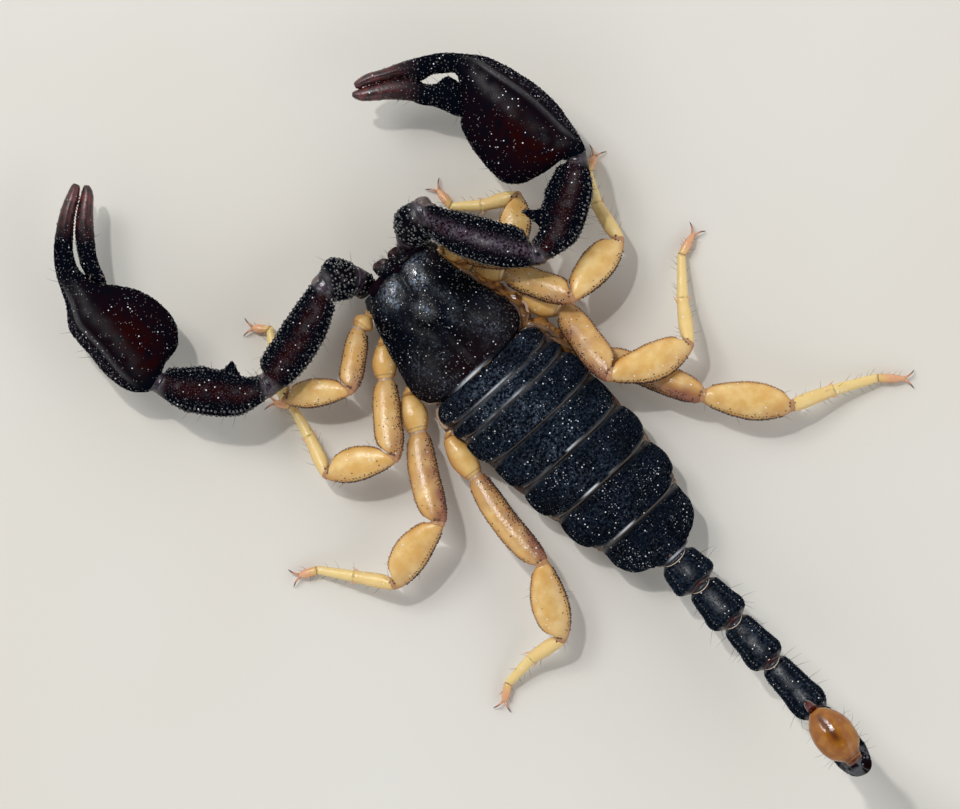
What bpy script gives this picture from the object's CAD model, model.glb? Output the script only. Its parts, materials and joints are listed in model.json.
"""Dresses the scorpion's solids: sculpted shell, keels, joint skin, claws, hairs, materials and a stage.

Each plate and each segment of a limb is a fine skin over the rings of its own CAD solid, so it keeps the
solid's size and place. Lengths are worked out in millimetres and turned to metres when a mesh is made.
"""

import json
import math

import bpy
import numpy as np
from mathutils import Matrix, Vector

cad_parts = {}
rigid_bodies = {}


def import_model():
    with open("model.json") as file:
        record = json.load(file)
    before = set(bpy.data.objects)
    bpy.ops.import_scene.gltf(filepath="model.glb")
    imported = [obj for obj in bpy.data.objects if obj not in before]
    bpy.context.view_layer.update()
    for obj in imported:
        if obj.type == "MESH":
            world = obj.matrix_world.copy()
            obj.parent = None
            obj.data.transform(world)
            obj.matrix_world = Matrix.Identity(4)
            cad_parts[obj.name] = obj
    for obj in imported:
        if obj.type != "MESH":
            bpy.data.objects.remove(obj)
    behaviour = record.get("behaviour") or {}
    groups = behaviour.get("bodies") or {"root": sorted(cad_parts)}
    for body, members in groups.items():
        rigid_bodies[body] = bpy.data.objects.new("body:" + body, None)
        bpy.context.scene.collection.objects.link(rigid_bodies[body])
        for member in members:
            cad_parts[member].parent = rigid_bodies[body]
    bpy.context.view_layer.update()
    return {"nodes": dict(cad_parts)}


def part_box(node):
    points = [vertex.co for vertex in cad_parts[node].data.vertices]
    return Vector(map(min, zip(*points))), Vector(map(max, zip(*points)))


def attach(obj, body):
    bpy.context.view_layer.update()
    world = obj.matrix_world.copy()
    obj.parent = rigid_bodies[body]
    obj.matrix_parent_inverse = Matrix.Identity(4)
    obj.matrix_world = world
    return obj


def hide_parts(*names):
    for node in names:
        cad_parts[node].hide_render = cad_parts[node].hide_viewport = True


for leftover in list(bpy.data.objects):
    bpy.data.objects.remove(leftover)
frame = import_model()

bl_info = {
    "name": "Scorpion dresser",
    "version": (1, 0, 0),
    "blender": (4, 5, 0),
    "location": "View3D > Sidebar > Scorpion",
    "description": "Builds a small wood scorpion's shell, limbs, hairs and stage over its solids",
    "category": "Object",
}

MM = 0.001
UP = np.array([0.0, 0.0, 1.0])
SIDES = ("left", "right")


# --- numbers that look random but are the same in each run ---


def hashed(cells, seed):
    """A number from 0 to 1 for each whole-number cell."""
    x, y, z = np.moveaxis(cells.astype(np.int64), -1, 0)
    mixed = x * 73856093 ^ y * 19349663 ^ z * 83492791 ^ (seed * 2654435761)
    mixed = (mixed ^ (mixed >> 13)) * 1274126177 & 0xFFFFFFFF
    mixed = (mixed ^ (mixed >> 16)) * 2246822519 & 0xFFFFFFFF
    return ((mixed ^ (mixed >> 15)) & 0xFFFFFF) / float(0xFFFFFF)


def lots(count, second, third=0):
    """A whole-number cell for each of so many things, to draw its lot from."""
    return np.stack([np.arange(count), np.full(count, second), np.full(count, third)], axis=-1)


def clouds(points, size, seed):
    """Soft patches from 0 to 1, about `size` across."""
    place = points / size
    base = np.floor(place)
    part = place - base
    part = part * part * (3 - 2 * part)
    total = np.zeros(points.shape[:-1])
    for dx in (0, 1):
        for dy in (0, 1):
            for dz in (0, 1):
                weight = np.ones(points.shape[:-1])
                for axis, step in enumerate((dx, dy, dz)):
                    weight = weight * (part[..., axis] if step else 1 - part[..., axis])
                total += weight * hashed(base + (dx, dy, dz), seed)
    return total


def unit(ways):
    """The same directions, each of length one."""
    return ways / np.linalg.norm(ways, axis=-1, keepdims=True)


def step_up(low, high, value):
    """0 below low, 1 above high, and smooth between."""
    share = np.clip((value - low) / (high - low), 0, 1)
    return share * share * (3 - 2 * share)


def ridge(distance, width):
    """1 on a line and 0 beyond `width` from it."""
    return np.exp(-((distance / width) ** 2) * 2.5)


# --- the rings that a CAD solid was lofted over ---


def corners_and_faces(node):
    """A CAD node's corners in millimetres, each once, and its triangles."""
    mesh = frame["nodes"][node].data
    flat = np.empty(len(mesh.vertices) * 3)
    mesh.vertices.foreach_get("co", flat)
    corners = flat.reshape(-1, 3) / MM
    microns = np.round(corners * 1e3).astype(int)
    _, first, inverse = np.unique(microns, axis=0, return_index=True, return_inverse=True)
    inverse = inverse.reshape(-1)
    return corners[first], [tuple(inverse[i] for i in face.vertices) for face in mesh.polygons]


def in_order(points, normal):
    """The points of a ring by their angle about its middle, and its direction, on the same side as normal."""
    spokes = points - points.mean(axis=0)
    facing_way = np.linalg.svd(spokes)[2][-1]
    facing_way = facing_way * (1 if facing_way @ normal > 0 else -1)
    first = unit(spokes[0])
    second = np.cross(facing_way, first)
    return np.argsort(np.arctan2(spokes @ second, spokes @ first)), facing_way


def turning(first, second):
    """The turn from one direction to another, keeping level what is level, as a matrix for points in rows."""
    sides = [np.cross(way, UP) for way in (first, second)]
    if sides[0] @ sides[1] < 0.05:  # too steep for that, so the shortest turn
        return np.array(Vector(first).rotation_difference(Vector(second)).to_matrix()).T
    sides = [unit(side) for side in sides]
    before, after = (np.array([side, np.cross(side, way), way]) for side, way in zip(sides, (first, second)))
    return before.T @ after


def rings_of(node, start, flip=False):
    """The node's rings as [ring, point, xyz], from the end nearest `start`, or nearest the body's middle.

    Point 0 is on the front side and point 1 above it. Rings are found from each corner's neighbours, and the
    points of each are matched to the ring before by place, so the way the faces are split doesn't matter.
    """
    corners, faces = corners_and_faces(node)
    beside = [set() for _ in corners]
    for face in faces:
        for corner in face:
            beside[corner].update(face)
    caps = sorted(range(len(corners)), key=lambda i: len(beside[i]))[-2:]
    away = (lambda i: abs(corners[i][0])) if start is None else (lambda i: np.linalg.norm(corners[i] - start))
    start_cap, end_cap = sorted(caps, key=away)
    sides = len(beside[start_cap]) - 1
    seen, ring, rings, normal = {start_cap}, beside[start_cap] - {start_cap}, [], None
    while ring and ring != {end_cap}:
        reached = set().union(*(beside[i] for i in ring)) - ring - seen
        if len(ring) > sides:  # a face that was split the other way reaches one ring too far
            ring = {i for i in ring if len(beside[i] & seen) > 1}
            reached = set().union(*(beside[i] for i in ring)) - ring - seen
        listed = sorted(ring)
        points = corners[listed]
        if normal is None:
            normal = corners[sorted(reached)].mean(axis=0) - points.mean(axis=0)
            order, normal = in_order(points, normal)
            points = points[order]
            side = np.cross(normal, UP) * (-1 if flip else 1)
            points = np.roll(points, -int(np.argmax(points @ side)), axis=0)
            way_round = points[1][2] > points[-1][2]
            points = points if way_round else np.roll(points[::-1], 1, axis=0)
        else:
            order, now = in_order(points, normal)
            points = points[order if way_round else order[::-1]]
            before = (rings[-1] - rings[-1].mean(axis=0)) @ turning(normal, now)
            spokes = points - points.mean(axis=0)
            shift = min(range(sides), key=lambda k: np.sum((np.roll(spokes, k, axis=0) - before) ** 2))
            points, normal = np.roll(points, shift, axis=0), now
        rings.append(points)
        seen |= ring
        ring = reached
    return np.array(rings)


# --- fine skins ---


def through(knots, values, places):
    """A smooth curve through values[k] at knots[k], read at places."""
    knots = np.asarray(knots, float)
    shape = (-1,) + (1,) * (values.ndim - 1)
    slopes = np.diff(values, axis=0) / np.diff(knots).reshape(shape)
    tangents = np.empty_like(values)
    tangents[0], tangents[-1] = slopes[0], slopes[-1]
    if len(knots) > 2:
        before, after = np.diff(knots)[:-1].reshape(shape), np.diff(knots)[1:].reshape(shape)
        tangents[1:-1] = (slopes[:-1] * after + slopes[1:] * before) / (before + after)
    k = np.clip(np.searchsorted(knots, places, side="right") - 1, 0, len(knots) - 2)
    span = (knots[k + 1] - knots[k]).reshape(shape)
    t = ((places - knots[k]) / (knots[k + 1] - knots[k])).reshape(shape)
    return (
        (2 * t**3 - 3 * t**2 + 1) * values[k]
        + (t**3 - 2 * t**2 + t) * span * tangents[k]
        + (-2 * t**3 + 3 * t**2) * values[k + 1]
        + (t**3 - t**2) * span * tangents[k + 1]
    )


def rounder(rings, columns):
    """Each closed ring with more points, on a smooth curve through its own."""
    sides = rings.shape[1]
    looped = np.concatenate([rings[:, -2:], rings, rings[:, :3]], axis=1)
    places = 2 + np.arange(columns) * sides / columns
    return np.swapaxes(through(np.arange(looped.shape[1]), np.swapaxes(looped, 0, 1), places), 0, 1)


def stations(rings):
    """How far along the solid each ring lies, in millimetres."""
    centres = rings.mean(axis=1)
    return np.concatenate([[0], np.cumsum(np.linalg.norm(np.diff(centres, axis=0), axis=1))])


def facing(points):
    """The outward direction at each point of a grid [row, column] whose rows are closed rings."""
    around = np.roll(points, -1, axis=1) - np.roll(points, 1, axis=1)
    normal = np.cross(np.gradient(points, axis=0), around)
    normal /= np.maximum(np.linalg.norm(normal, axis=-1, keepdims=True), 1e-12)
    middle = points.mean(axis=1, keepdims=True)
    outward = np.sum(normal * (points - middle), axis=-1, keepdims=True).sum(axis=1, keepdims=True)
    return normal * np.sign(outward)


def sized(ring, size, moved=0.0):
    """A ring, or a grid of rings, made smaller or larger about the middle of each, and moved."""
    middle = ring.mean(axis=-2, keepdims=True)
    return middle + (ring - middle) * size + moved


def with_neck(rings, reach, size):
    """The same rings after one more that lies `reach` millimetres before the first, inside the neighbour."""
    back = rings[0].mean(axis=0) - rings[1].mean(axis=0)
    return np.concatenate([sized(rings[:1], size, unit(back) * reach), rings])


class Patch:
    """A grid over a stretch of a solid: where each point lies, and how far along and around it is.

    `rounding` is, for each end, over how many millimetres the skin draws in and by which share.
    """

    def __init__(self, rings, pitch, columns, draw_back=(0.0, 0.0), rounding=((0.0, 0.0), (0.0, 0.0))):
        at = stations(rings)
        self.length = at[-1]
        self.rows = max(6, int(round(self.length / pitch)))
        along = np.linspace(draw_back[0], self.length - draw_back[1], self.rows)
        self.points = through(at, rounder(rings, columns), along)
        for from_end, (reach, depth) in zip((along - along[0], along[-1] - along), rounding):
            if reach:
                near = np.clip(1 - from_end / reach, 0, 1)
                size = 1 - depth * (1 - np.sqrt(1 - near**2))
                self.points = sized(self.points, size[:, None, None])
        steps = np.linalg.norm(np.roll(self.points, -1, axis=1) - self.points, axis=-1)
        self.girth = steps.sum(axis=1, keepdims=True)
        self.v = np.broadcast_to(np.arange(columns) / columns, self.points.shape[:2])
        self.u = np.broadcast_to((along / self.length)[:, None], self.points.shape[:2])
        self.mm = np.broadcast_to(along[:, None], self.points.shape[:2])
        self.behind = self.length - self.mm
        self.end = np.minimum(self.mm, self.behind)
        self.normals = facing(self.points)
        self.height = np.zeros(self.points.shape[:2])

    def across(self, line):
        """Millimetres round the section from a line that runs along it."""
        return ((self.v - line + 0.5) % 1.0 - 0.5) * self.girth

    def line(self, where, width):
        """1 on a line that runs along the solid, fading to 0 over so many millimetres beside it."""
        return ridge(self.across(where), width)

    def sides(self, front, rear):
        """1 along the front and the rear side of a limb, each fading over its own width."""
        return np.maximum(self.line(0.0, front), self.line(0.5, rear))

    def clouds(self, size, seed):
        """Soft patches over the solid."""
        return clouds(self.points, size, seed)

    def finished(self):
        """The grid's points after the relief."""
        return self.points + self.normals * self.height[..., None]

    def read(self, grid, places):
        """What a grid holds at places given by their millimetres along and their share of the way round."""
        rows, columns = self.points.shape[:2]
        first, last = self.mm[0, 0], self.mm[-1, 0]
        row = np.clip((places[:, 0] - first) / (last - first) * (rows - 1), 0, rows - 1.001)
        column = places[:, 1] % 1.0 * columns
        r, c = row.astype(int), column.astype(int) % columns
        shape = (-1,) + (1,) * (grid.ndim - 2)
        down, right = (row - r).reshape(shape), (column - np.floor(column)).reshape(shape)
        beside = (c + 1) % columns
        upper = grid[r, c] * (1 - right) + grid[r, beside] * right
        lower = grid[r + 1, c] * (1 - right) + grid[r + 1, beside] * right
        return upper * (1 - down) + lower * down

    def row(self, line, pitch, seed, start, end, sway):
        """Places along a line, `pitch` millimetres apart, between two shares of the length."""
        first, last = start * self.length, end * self.length
        count = max(1, int((last - first) / pitch))
        cell = lots(count, seed)
        along = first + (np.arange(count) + 0.5 + 0.4 * (hashed(cell, 5) - 0.5)) * pitch
        girth = self.read(np.broadcast_to(self.girth, self.v.shape), np.stack([along, 0 * along], axis=-1))
        return np.stack([along, line + sway * (hashed(cell, 6) - 0.5) / girth], axis=-1)

    def field(self, spacing, seed, chance):
        """Places all over, about `spacing` millimetres apart, each kept with the chance a grid gives it."""
        places = []
        for k, along in enumerate(np.arange(self.mm[0, 0] + spacing / 2, self.mm[-1, 0], spacing)):
            girth = self.read(np.broadcast_to(self.girth, self.v.shape), np.array([[along, 0.0]]))[0]
            count = max(1, int(girth / spacing))
            cell = lots(count, k, seed)
            sideways = (np.arange(count) + k % 2 / 2 + 0.8 * (hashed(cell, 1) - 0.5)) / count
            places.append(np.stack([along + 0.7 * spacing * (hashed(cell, 2) - 0.5), sideways], axis=-1))
        places = np.concatenate(places)
        drawn = hashed(lots(len(places), seed), 3)
        return places[drawn < self.read(chance, places)]


class Gathered:
    """Grids, blobs and hairs gathered into one piece, with one value a point for each named mark."""

    def __init__(self):
        self.points, self.faces, self.marks, self.count = [], [], [], 0

    def add(self, points, faces, marks=None):
        points = np.asarray(points, float).reshape(-1, 3)
        self.points.append(points)
        self.faces.extend(np.asarray(face) + self.count for face in faces if len(face))
        marks = {name: np.asarray(value, float).reshape(-1) for name, value in (marks or {}).items()}
        spread = {name: np.broadcast_to(value, len(points)) for name, value in marks.items()}
        self.marks.append((len(points), spread))
        self.count += len(points)

    def tube(self, points, marks, hollow=(0.08, 0.08), dome=False):
        """A closed body over a grid of rings. Its ends turn in, as a rim does, or round over as a dome."""
        columns = points.shape[1]
        centres = points.mean(axis=1, keepdims=True)
        lead = [points[0] - points[1], points[-1] - points[-2]]
        caps = []
        for end, depth in zip((0, -1), hollow):
            outward = lead[end].mean(axis=0)
            outward /= max(np.linalg.norm(outward), 1e-9)
            ring, centre = points[end], centres[end]
            if dome:
                shares = [(0.85, 0.5), (0.55, 0.85), (0.25, 1.0)]
            else:
                shares = [(0.93, 0.25), (0.8, -0.5), (0.4, -1.0)]
            caps.append([centre + (ring - centre) * size + outward * depth * deep for size, deep in shares])
        grid = np.concatenate([np.array(caps[0][::-1]), points, np.array(caps[1])])
        padded = {name: np.concatenate([value[:1].repeat(3, 0), value, value[-1:].repeat(3, 0)])
                  for name, value in marks.items()}
        total = len(grid)
        index = np.arange(total * columns).reshape(total, columns)
        beside = np.roll(index, -1, axis=1)
        quads = np.stack([index[:-1], beside[:-1], beside[1:], index[1:]], axis=-1).reshape(-1, 4)
        front, back = total * columns, total * columns + 1
        first = np.stack([np.full(columns, front), beside[0], index[0]], axis=-1)
        last = np.stack([np.full(columns, back), index[-1], beside[-1]], axis=-1)
        poles = grid[[0, -1]].mean(axis=1)
        everything = np.concatenate([grid.reshape(-1, 3), poles])
        if volume(everything, quads) < 0:
            quads, first, last = quads[:, ::-1], first[:, ::-1], last[:, ::-1]
        values = {name: np.concatenate([value.reshape(-1), value[0, :1], value[-1, :1]])
                  for name, value in padded.items()}
        self.add(everything, [quads, first, last], values)

    def studs(self, patch, places, radius, seed, tall=1.0, sunk=0.35, marks=None, sides=8):
        """Round grains or blunt teeth on a skin, of about one radius; `tall` stretches them outwards."""
        if not len(places):
            return
        normals = unit(patch.read(patch.normals, places))
        cell = lots(len(places), seed)
        sizes = radius * (0.75 + 0.5 * hashed(cell, 7))
        middles = patch.read(patch.finished(), places) - normals * (sizes * sunk)[:, None]
        self.grains(middles, sizes, normals, tall, marks, sides)

    def grains(self, middles, sizes, normals, tall, marks, sides):
        """Closed balls, each stretched along its own direction."""
        helper = np.where(np.abs(normals[:, 2:]) < 0.9, UP, np.array([1.0, 0.0, 0.0]))
        across = unit(np.cross(normals, helper))
        forward = np.cross(normals, across)
        turns = np.linspace(0, math.pi, sides // 2 + 1)[1:-1]
        around = np.arange(sides) * 2 * math.pi / sides
        shape = np.stack([np.outer(np.sin(turns), np.cos(around)), np.outer(np.sin(turns), np.sin(around)),
                          np.outer(np.cos(turns), np.ones(sides))], axis=-1).reshape(-1, 3)
        shape = np.concatenate([shape, [[0, 0, 1.0], [0, 0, -1.0]]]) * (1, 1, tall)
        frame_of = np.stack([across, forward, normals], axis=1)
        points = middles[:, None] + sizes[:, None, None] * np.einsum("pk,nkx->npx", shape, frame_of)
        index = np.arange(len(turns) * sides).reshape(len(turns), sides)
        beside = np.roll(index, -1, axis=1)
        quads = np.stack([index[:-1], beside[:-1], beside[1:], index[1:]], axis=-1).reshape(-1, 4)
        top = np.stack([np.full(sides, index.size), beside[0], index[0]], axis=-1)
        foot = np.stack([np.full(sides, index.size + 1), index[-1], beside[-1]], axis=-1)
        if volume(points[0], quads) < 0:
            quads, top, foot = quads[:, ::-1], top[:, ::-1], foot[:, ::-1]
        each = np.arange(len(middles))[:, None, None] * len(shape)
        faces = [(block + each).reshape(-1, block.shape[1]) for block in (quads, top, foot)]
        self.add(points, faces, marks)

    def piece(self, name, finished, slot, nodes=()):
        """Makes the object, in metres, with its finish, and hooks it to the frame. No points, no object."""
        if not self.points:
            return
        mesh = bpy.data.meshes.new(name)
        points = np.concatenate(self.points) * MM
        points[:, 2] = np.maximum(points[:, 2], 0)  # nothing reaches below the floor
        mesh.vertices.add(len(points))
        mesh.vertices.foreach_set("co", points.astype(np.float32).reshape(-1))
        loops = np.concatenate([block.reshape(-1) for block in self.faces])
        sizes = np.concatenate([np.full(len(block), block.shape[1]) for block in self.faces])
        starts = np.concatenate([[0], np.cumsum(sizes)[:-1]])
        mesh.loops.add(len(loops))
        mesh.loops.foreach_set("vertex_index", loops.astype(np.int32))
        mesh.polygons.add(len(sizes))
        mesh.polygons.foreach_set("loop_start", starts.astype(np.int32))
        mesh.update(calc_edges=True)
        mesh.validate()
        mesh.polygons.foreach_set("use_smooth", np.ones(len(mesh.polygons), bool))
        values = {mark: np.concatenate([marks.get(mark, np.zeros(count)) for count, marks in self.marks])
                  for mark in sorted({name for _, marks in self.marks for name in marks})}
        if "bake_u" in values:
            corners = np.stack([values.pop("bake_u"), values.pop("bake_v")], axis=-1)[loops]
            mesh.uv_layers.new(name="OFBake").uv.foreach_set("vector", corners.astype(np.float32).reshape(-1))
        for mark, each in values.items():
            mesh.attributes.new(mark, "FLOAT", "POINT").data.foreach_set("value", each.astype(np.float32))
        mesh.materials.append(finish(finished))
        made = bpy.data.objects.new(name, mesh)
        bpy.context.scene.collection.objects.link(made)
        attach(made, "root")
        if nodes:
            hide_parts(*nodes)


def volume(points, quads):
    """Signed, so that faces that look inwards give less than zero."""
    a, b, c, d = (points[quads[:, k]] for k in range(4))
    return float(np.sum(np.cross(b - a, c - a) * a) + np.sum(np.cross(c - a, d - a) * a))


# --- sizes and colours ---


def linear(colour):
    """An sRGB hex value as linear red, green and blue."""
    channels = [(colour >> shift & 255) / 255 for shift in (16, 8, 0)]
    return [c / 12.92 if c <= 0.04045 else ((c + 0.055) / 1.055) ** 2.4 for c in channels]


def tint(name, colour, description):
    """A colour that a user may change."""
    values = {"size": 3, "subtype": "COLOR", "min": 0.0, "max": 1.0, "default": linear(colour)}
    return bpy.props.FloatVectorProperty(name=name, description=description, **values)


def length(name, size, description):
    """A length that a user may change, given in millimetres and kept in metres."""
    values = {"default": size * MM, "min": 0.0, "precision": 6, "subtype": "DISTANCE", "unit": "LENGTH"}
    return bpy.props.FloatProperty(name=name, description=description, **values)


def share(name, value, description):
    """A share from 0 to 1 that a user may change."""
    values = {"default": value, "min": 0.0, "max": 1.0, "subtype": "FACTOR"}
    return bpy.props.FloatProperty(name=name, description=description, **values)


class ScorpionColours(bpy.types.PropertyGroup):
    """What each finish is coloured with."""

    shell: tint("Shell", 0x050608, "Black cuticle of the back")
    shell_cast: tint("Shell, cast", 0x060A14, "Bluish patches of the back")
    shell_brown: tint("Shell, brown", 0x1A0B0C, "Brown places of the back")
    shell_dusty: tint("Shell, dusty", 0x313C49, "Blue-grey bloom of the back plates")
    shell_bloom: tint("Shell, bloom", 0x8FA0B8, "Bluish white bloom on the swellings of the head shield")
    grain: tint("Grains", 0x08080C, "Grains of the back and arms")
    rim: tint("Plate rims", 0xC4C9D0, "Worn rims behind the back plates")
    dust: tint("Dust", 0xE4E8EA, "Specks of light dust between the grains")
    arm_dark: tint("Arms, dark", 0x070911, "Blue-black margins and keels of the arms")
    arm_face: tint("Arms, faces", 0x220605, "Oxblood middles of the arms' faces")
    arm_grey: tint("Arms, grey", 0x6C6272, "Greyish bloom on the arms")
    finger_tip: tint("Finger tips", 0x5C2626, "Red-brown ends of the fingers")
    leg: tint("Legs", 0xDFB062, "Amber cuticle of the legs")
    leg_light: tint("Legs, light", 0xEFCF8C, "Lighter patches of the legs")
    leg_side: tint("Legs, sides", 0xB06A1C, "Deeper amber down the sides of the legs")
    leg_brown: tint("Legs, brown", 0x8C5840, "Pinkish brown cast over the thighs")
    leg_pale: tint("Shins", 0xE8CF8C, "Pale yellow of the shins and feet")
    leg_pink: tint("Feet", 0xD8A07C, "Pinkish last joints of the feet")
    leg_edge: tint("Leg grains", 0x331812, "Dark grains and keels of the legs")
    leg_joint: tint("Joint marks", 0x4A1519, "Dark red condyles of the legs' joints")
    flank: tint("Flanks", 0xA07038, "Amber skin of the flanks")
    flank_brown: tint("Flanks, brown", 0x4E2A16, "Red-brown folds of the flanks")
    belly: tint("Belly", 0x6B4A30, "Brown cuticle of the underside")
    belly_dark: tint("Belly, dark", 0x3A261B, "Darker patches of the underside")
    membrane: tint("Membranes", 0xC4AE98, "Pale pinkish joint skin")
    membrane_dark: tint("Membranes, dark", 0x4A3C48, "Purple-grey joint skin of the arms")
    membrane_amber: tint("Membranes, amber", 0xA86C2C, "Amber joint skin of the legs and flanks")
    membrane_red: tint("Membranes, red", 0x3A1010, "Dark red joint skin of the tail")
    telson: tint("Bulb", 0x8E5212, "Orange-brown bulb of the sting")
    telson_light: tint("Bulb, light", 0xA46A1C, "Lighter patches of the bulb")
    telson_dark: tint("Bulb, stripe", 0x5A2C10, "Dark stripe of the bulb")
    horn: tint("Horn", 0x5A2418, "Root of claws, fangs and sting")
    horn_dark: tint("Horn, points", 0x120A0A, "Points of claws, fangs and sting")
    eye: tint("Eyes", 0x050507, "Black under the lenses")
    hair: tint("Hairs", 0x2A1A12, "Dark brown bristles")
    hair_light: tint("Hairs, light", 0x6B4E36, "Lighter bristles")
    floor: tint("Floor", 0xDDDAD3, "Pale cream floor")
    floor_shade: tint("Floor, shade", 0xD9D4C9, "Slightly darker patches of the floor")


class ScorpionSizes(bpy.types.PropertyGroup):
    """How fine the skins are, and how high their relief stands."""

    pitch: length("Skin pitch", 0.06, "Distance between neighbouring points of a skin")
    grain: length("Grain size", 0.04, "Radius of the grains scattered over the shell")
    grain_spacing: length("Grain spacing", 0.24, "Distance between the grains of the shell")
    bead: length("Keel teeth", 0.085, "Radius of the round teeth along the arms' keels")
    bead_pitch: length("Keel tooth pitch", 0.19, "Distance between the teeth along a keel")
    rim: length("Plate rim", 0.07, "Width of the smooth rim behind each back plate")
    hair: length("Hair length", 0.7, "Usual length of a bristle")
    hair_width: length("Hair width", 0.02, "Thickness of a bristle at its root")
    hairiness: share("Hairiness", 1.0, "How many of the bristles are there")


def millimetres(name):
    """One of the sizes that a user may change, in millimetres."""
    return getattr(bpy.context.scene.scorpion_sizes, name) / MM


# --- materials ---

SMOOTH = {"interpolation_type": "SMOOTHSTEP"}
TIMES = {"operation": "MULTIPLY"}


def node(tree, kind, out=0, settings=None, **links):
    """Adds a node with its settings and links, and gives one of its outputs. `_2` is its third input."""
    made = tree.nodes.new(kind)
    for name, value in (settings or {}).items():
        setattr(made, name, value)
    for name, value in links.items():
        socket = made.inputs[int(name[1:])] if name[0] == "_" else made.inputs[name.replace("_", " ")]
        if isinstance(value, bpy.types.NodeSocket):
            tree.links.new(value, socket)
        else:
            socket.default_value = value
    return made.outputs[out] if made.outputs else made


def layered(tree, base, *layers):
    """Lays colours over one another. A layer is a mask, or the name of a mark on the mesh, and a colour."""
    for mask, colour in layers:
        if isinstance(mask, str):
            mask = node(tree, "ShaderNodeAttribute", "Fac", {"attribute_name": mask})
        ends = [end if isinstance(end, bpy.types.NodeSocket) else (*end, 1) for end in (base, colour)]
        base = node(tree, "ShaderNodeMix", 2, {"data_type": "RGBA"}, _0=mask, _6=ends[0], _7=ends[1])
    return base


def patchy(tree, size, low=0.35, high=0.65):
    """A mask of soft patches about `size` millimetres across."""
    place = node(tree, "ShaderNodeTexCoord", "Object")
    soft = node(tree, "ShaderNodeTexNoise", Vector=place, Scale=1 / (size * MM), Detail=2.0)
    return node(tree, "ShaderNodeMapRange", 0, SMOOTH, Value=soft, From_Min=low, From_Max=high)


def flecks(tree, size, share, radius, strength):
    """A mask of small round dots in loose swarms, some brighter than others. They fill up to a share of the
    places that lie `size` millimetres apart."""
    place = node(tree, "ShaderNodeTexCoord", "Object")
    drawn = node(tree, "ShaderNodeTexVoronoi", "Color", Vector=place, Scale=1 / (size * MM))
    lot = node(tree, "ShaderNodeSeparateColor", 0, Color=drawn)
    brightness = node(tree, "ShaderNodeMath", 0, TIMES, _0=lot.node.outputs[1], _1=strength)
    swarm = node(tree, "ShaderNodeMath", 0, TIMES, _0=patchy(tree, 1.1, 0.3, 0.7), _1=share)
    held = node(tree, "ShaderNodeMath", 0, {"operation": "LESS_THAN"}, _0=lot, _1=swarm)
    away = drawn.node.outputs["Distance"]
    ends = {"From_Min": radius, "From_Max": radius / 2, "To_Max": brightness}
    dot = node(tree, "ShaderNodeMapRange", 0, SMOOTH, Value=away, **ends)
    return node(tree, "ShaderNodeMath", 0, TIMES, _0=held, _1=dot)


def by_mark(tree, name, first, last):
    """A number that runs from `first` to `last` as a mark of the mesh runs from 0 to 1."""
    value = node(tree, "ShaderNodeAttribute", "Fac", {"attribute_name": name})
    return node(tree, "ShaderNodeMapRange", 0, Value=value, To_Min=first, To_Max=last)


def grained(tree, size, height, strength=1.0):
    """A bump of round grains, `size` millimetres apart and `height` millimetres high."""
    place = node(tree, "ShaderNodeTexCoord", "Object")
    away = node(tree, "ShaderNodeTexVoronoi", "Distance", Vector=place, Scale=1 / (size * MM))
    dome = node(tree, "ShaderNodeMapRange", 0, SMOOTH, Value=away, From_Min=0.62, From_Max=0.1)
    return node(tree, "ShaderNodeBump", 0, Strength=strength, Distance=height * MM, Height=dome)


def wrinkled(tree, size, height):
    """A bump of soft uneven swellings, about `size` millimetres across and `height` millimetres high."""
    place = node(tree, "ShaderNodeTexCoord", "Object")
    soft = node(tree, "ShaderNodeTexNoise", Vector=place, Scale=1 / (size * MM), Detail=3.0)
    return node(tree, "ShaderNodeBump", 0, Strength=0.6, Distance=height * MM, Height=soft)


def shell_cuticle(tree, colours):
    """Hardened cuticle of the back, black with a blue cast: dull in its hollows, polished where it is bare,
    with a blue-grey bloom on its swellings, and with pale glints and dust among its grains."""
    glinting = node(tree, "ShaderNodeAttribute", "Fac", {"attribute_name": "glint"})
    glints = node(tree, "ShaderNodeMath", 0, TIMES, _0=glinting, _1=flecks(tree, 0.13, 1.2, 0.25, 2.2))
    body = layered(
        tree,
        colours.shell,
        (patchy(tree, 1.3), colours.shell_cast),
        ("brown", colours.shell_brown),
        ("dusty", layered(tree, colours.shell_cast, (patchy(tree, 0.14, 0.34, 0.8), colours.shell_dusty))),
        ("bloom", layered(tree, colours.shell_cast, (patchy(tree, 0.14, 0.44, 0.66), colours.shell_bloom))),
        ("grain", colours.grain),
        ("rim", colours.rim),
        (flecks(tree, 0.2, 0.5, 0.2, 2.2), colours.dust),
        (flecks(tree, 0.1, 0.12, 0.3, 0.3), colours.dust),
        (glints, colours.dust),
    )
    # Grains of the real shell are 0.03 to 0.05 mm apart; they are drawn at 0.09 mm so that they show.
    return {
        "Base_Color": body,
        "Roughness": by_mark(tree, "bare", 0.5, 0.21),
        "Normal": grained(tree, 0.09, 0.016, by_mark(tree, "bare", 0.35, 0.5)),
        "IOR": 1.6,  # a little over chitin's 1.56, for the wet look of its glints
        "Specular_IOR_Level": by_mark(tree, "bare", 0.0, 1.0),
    }


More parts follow.
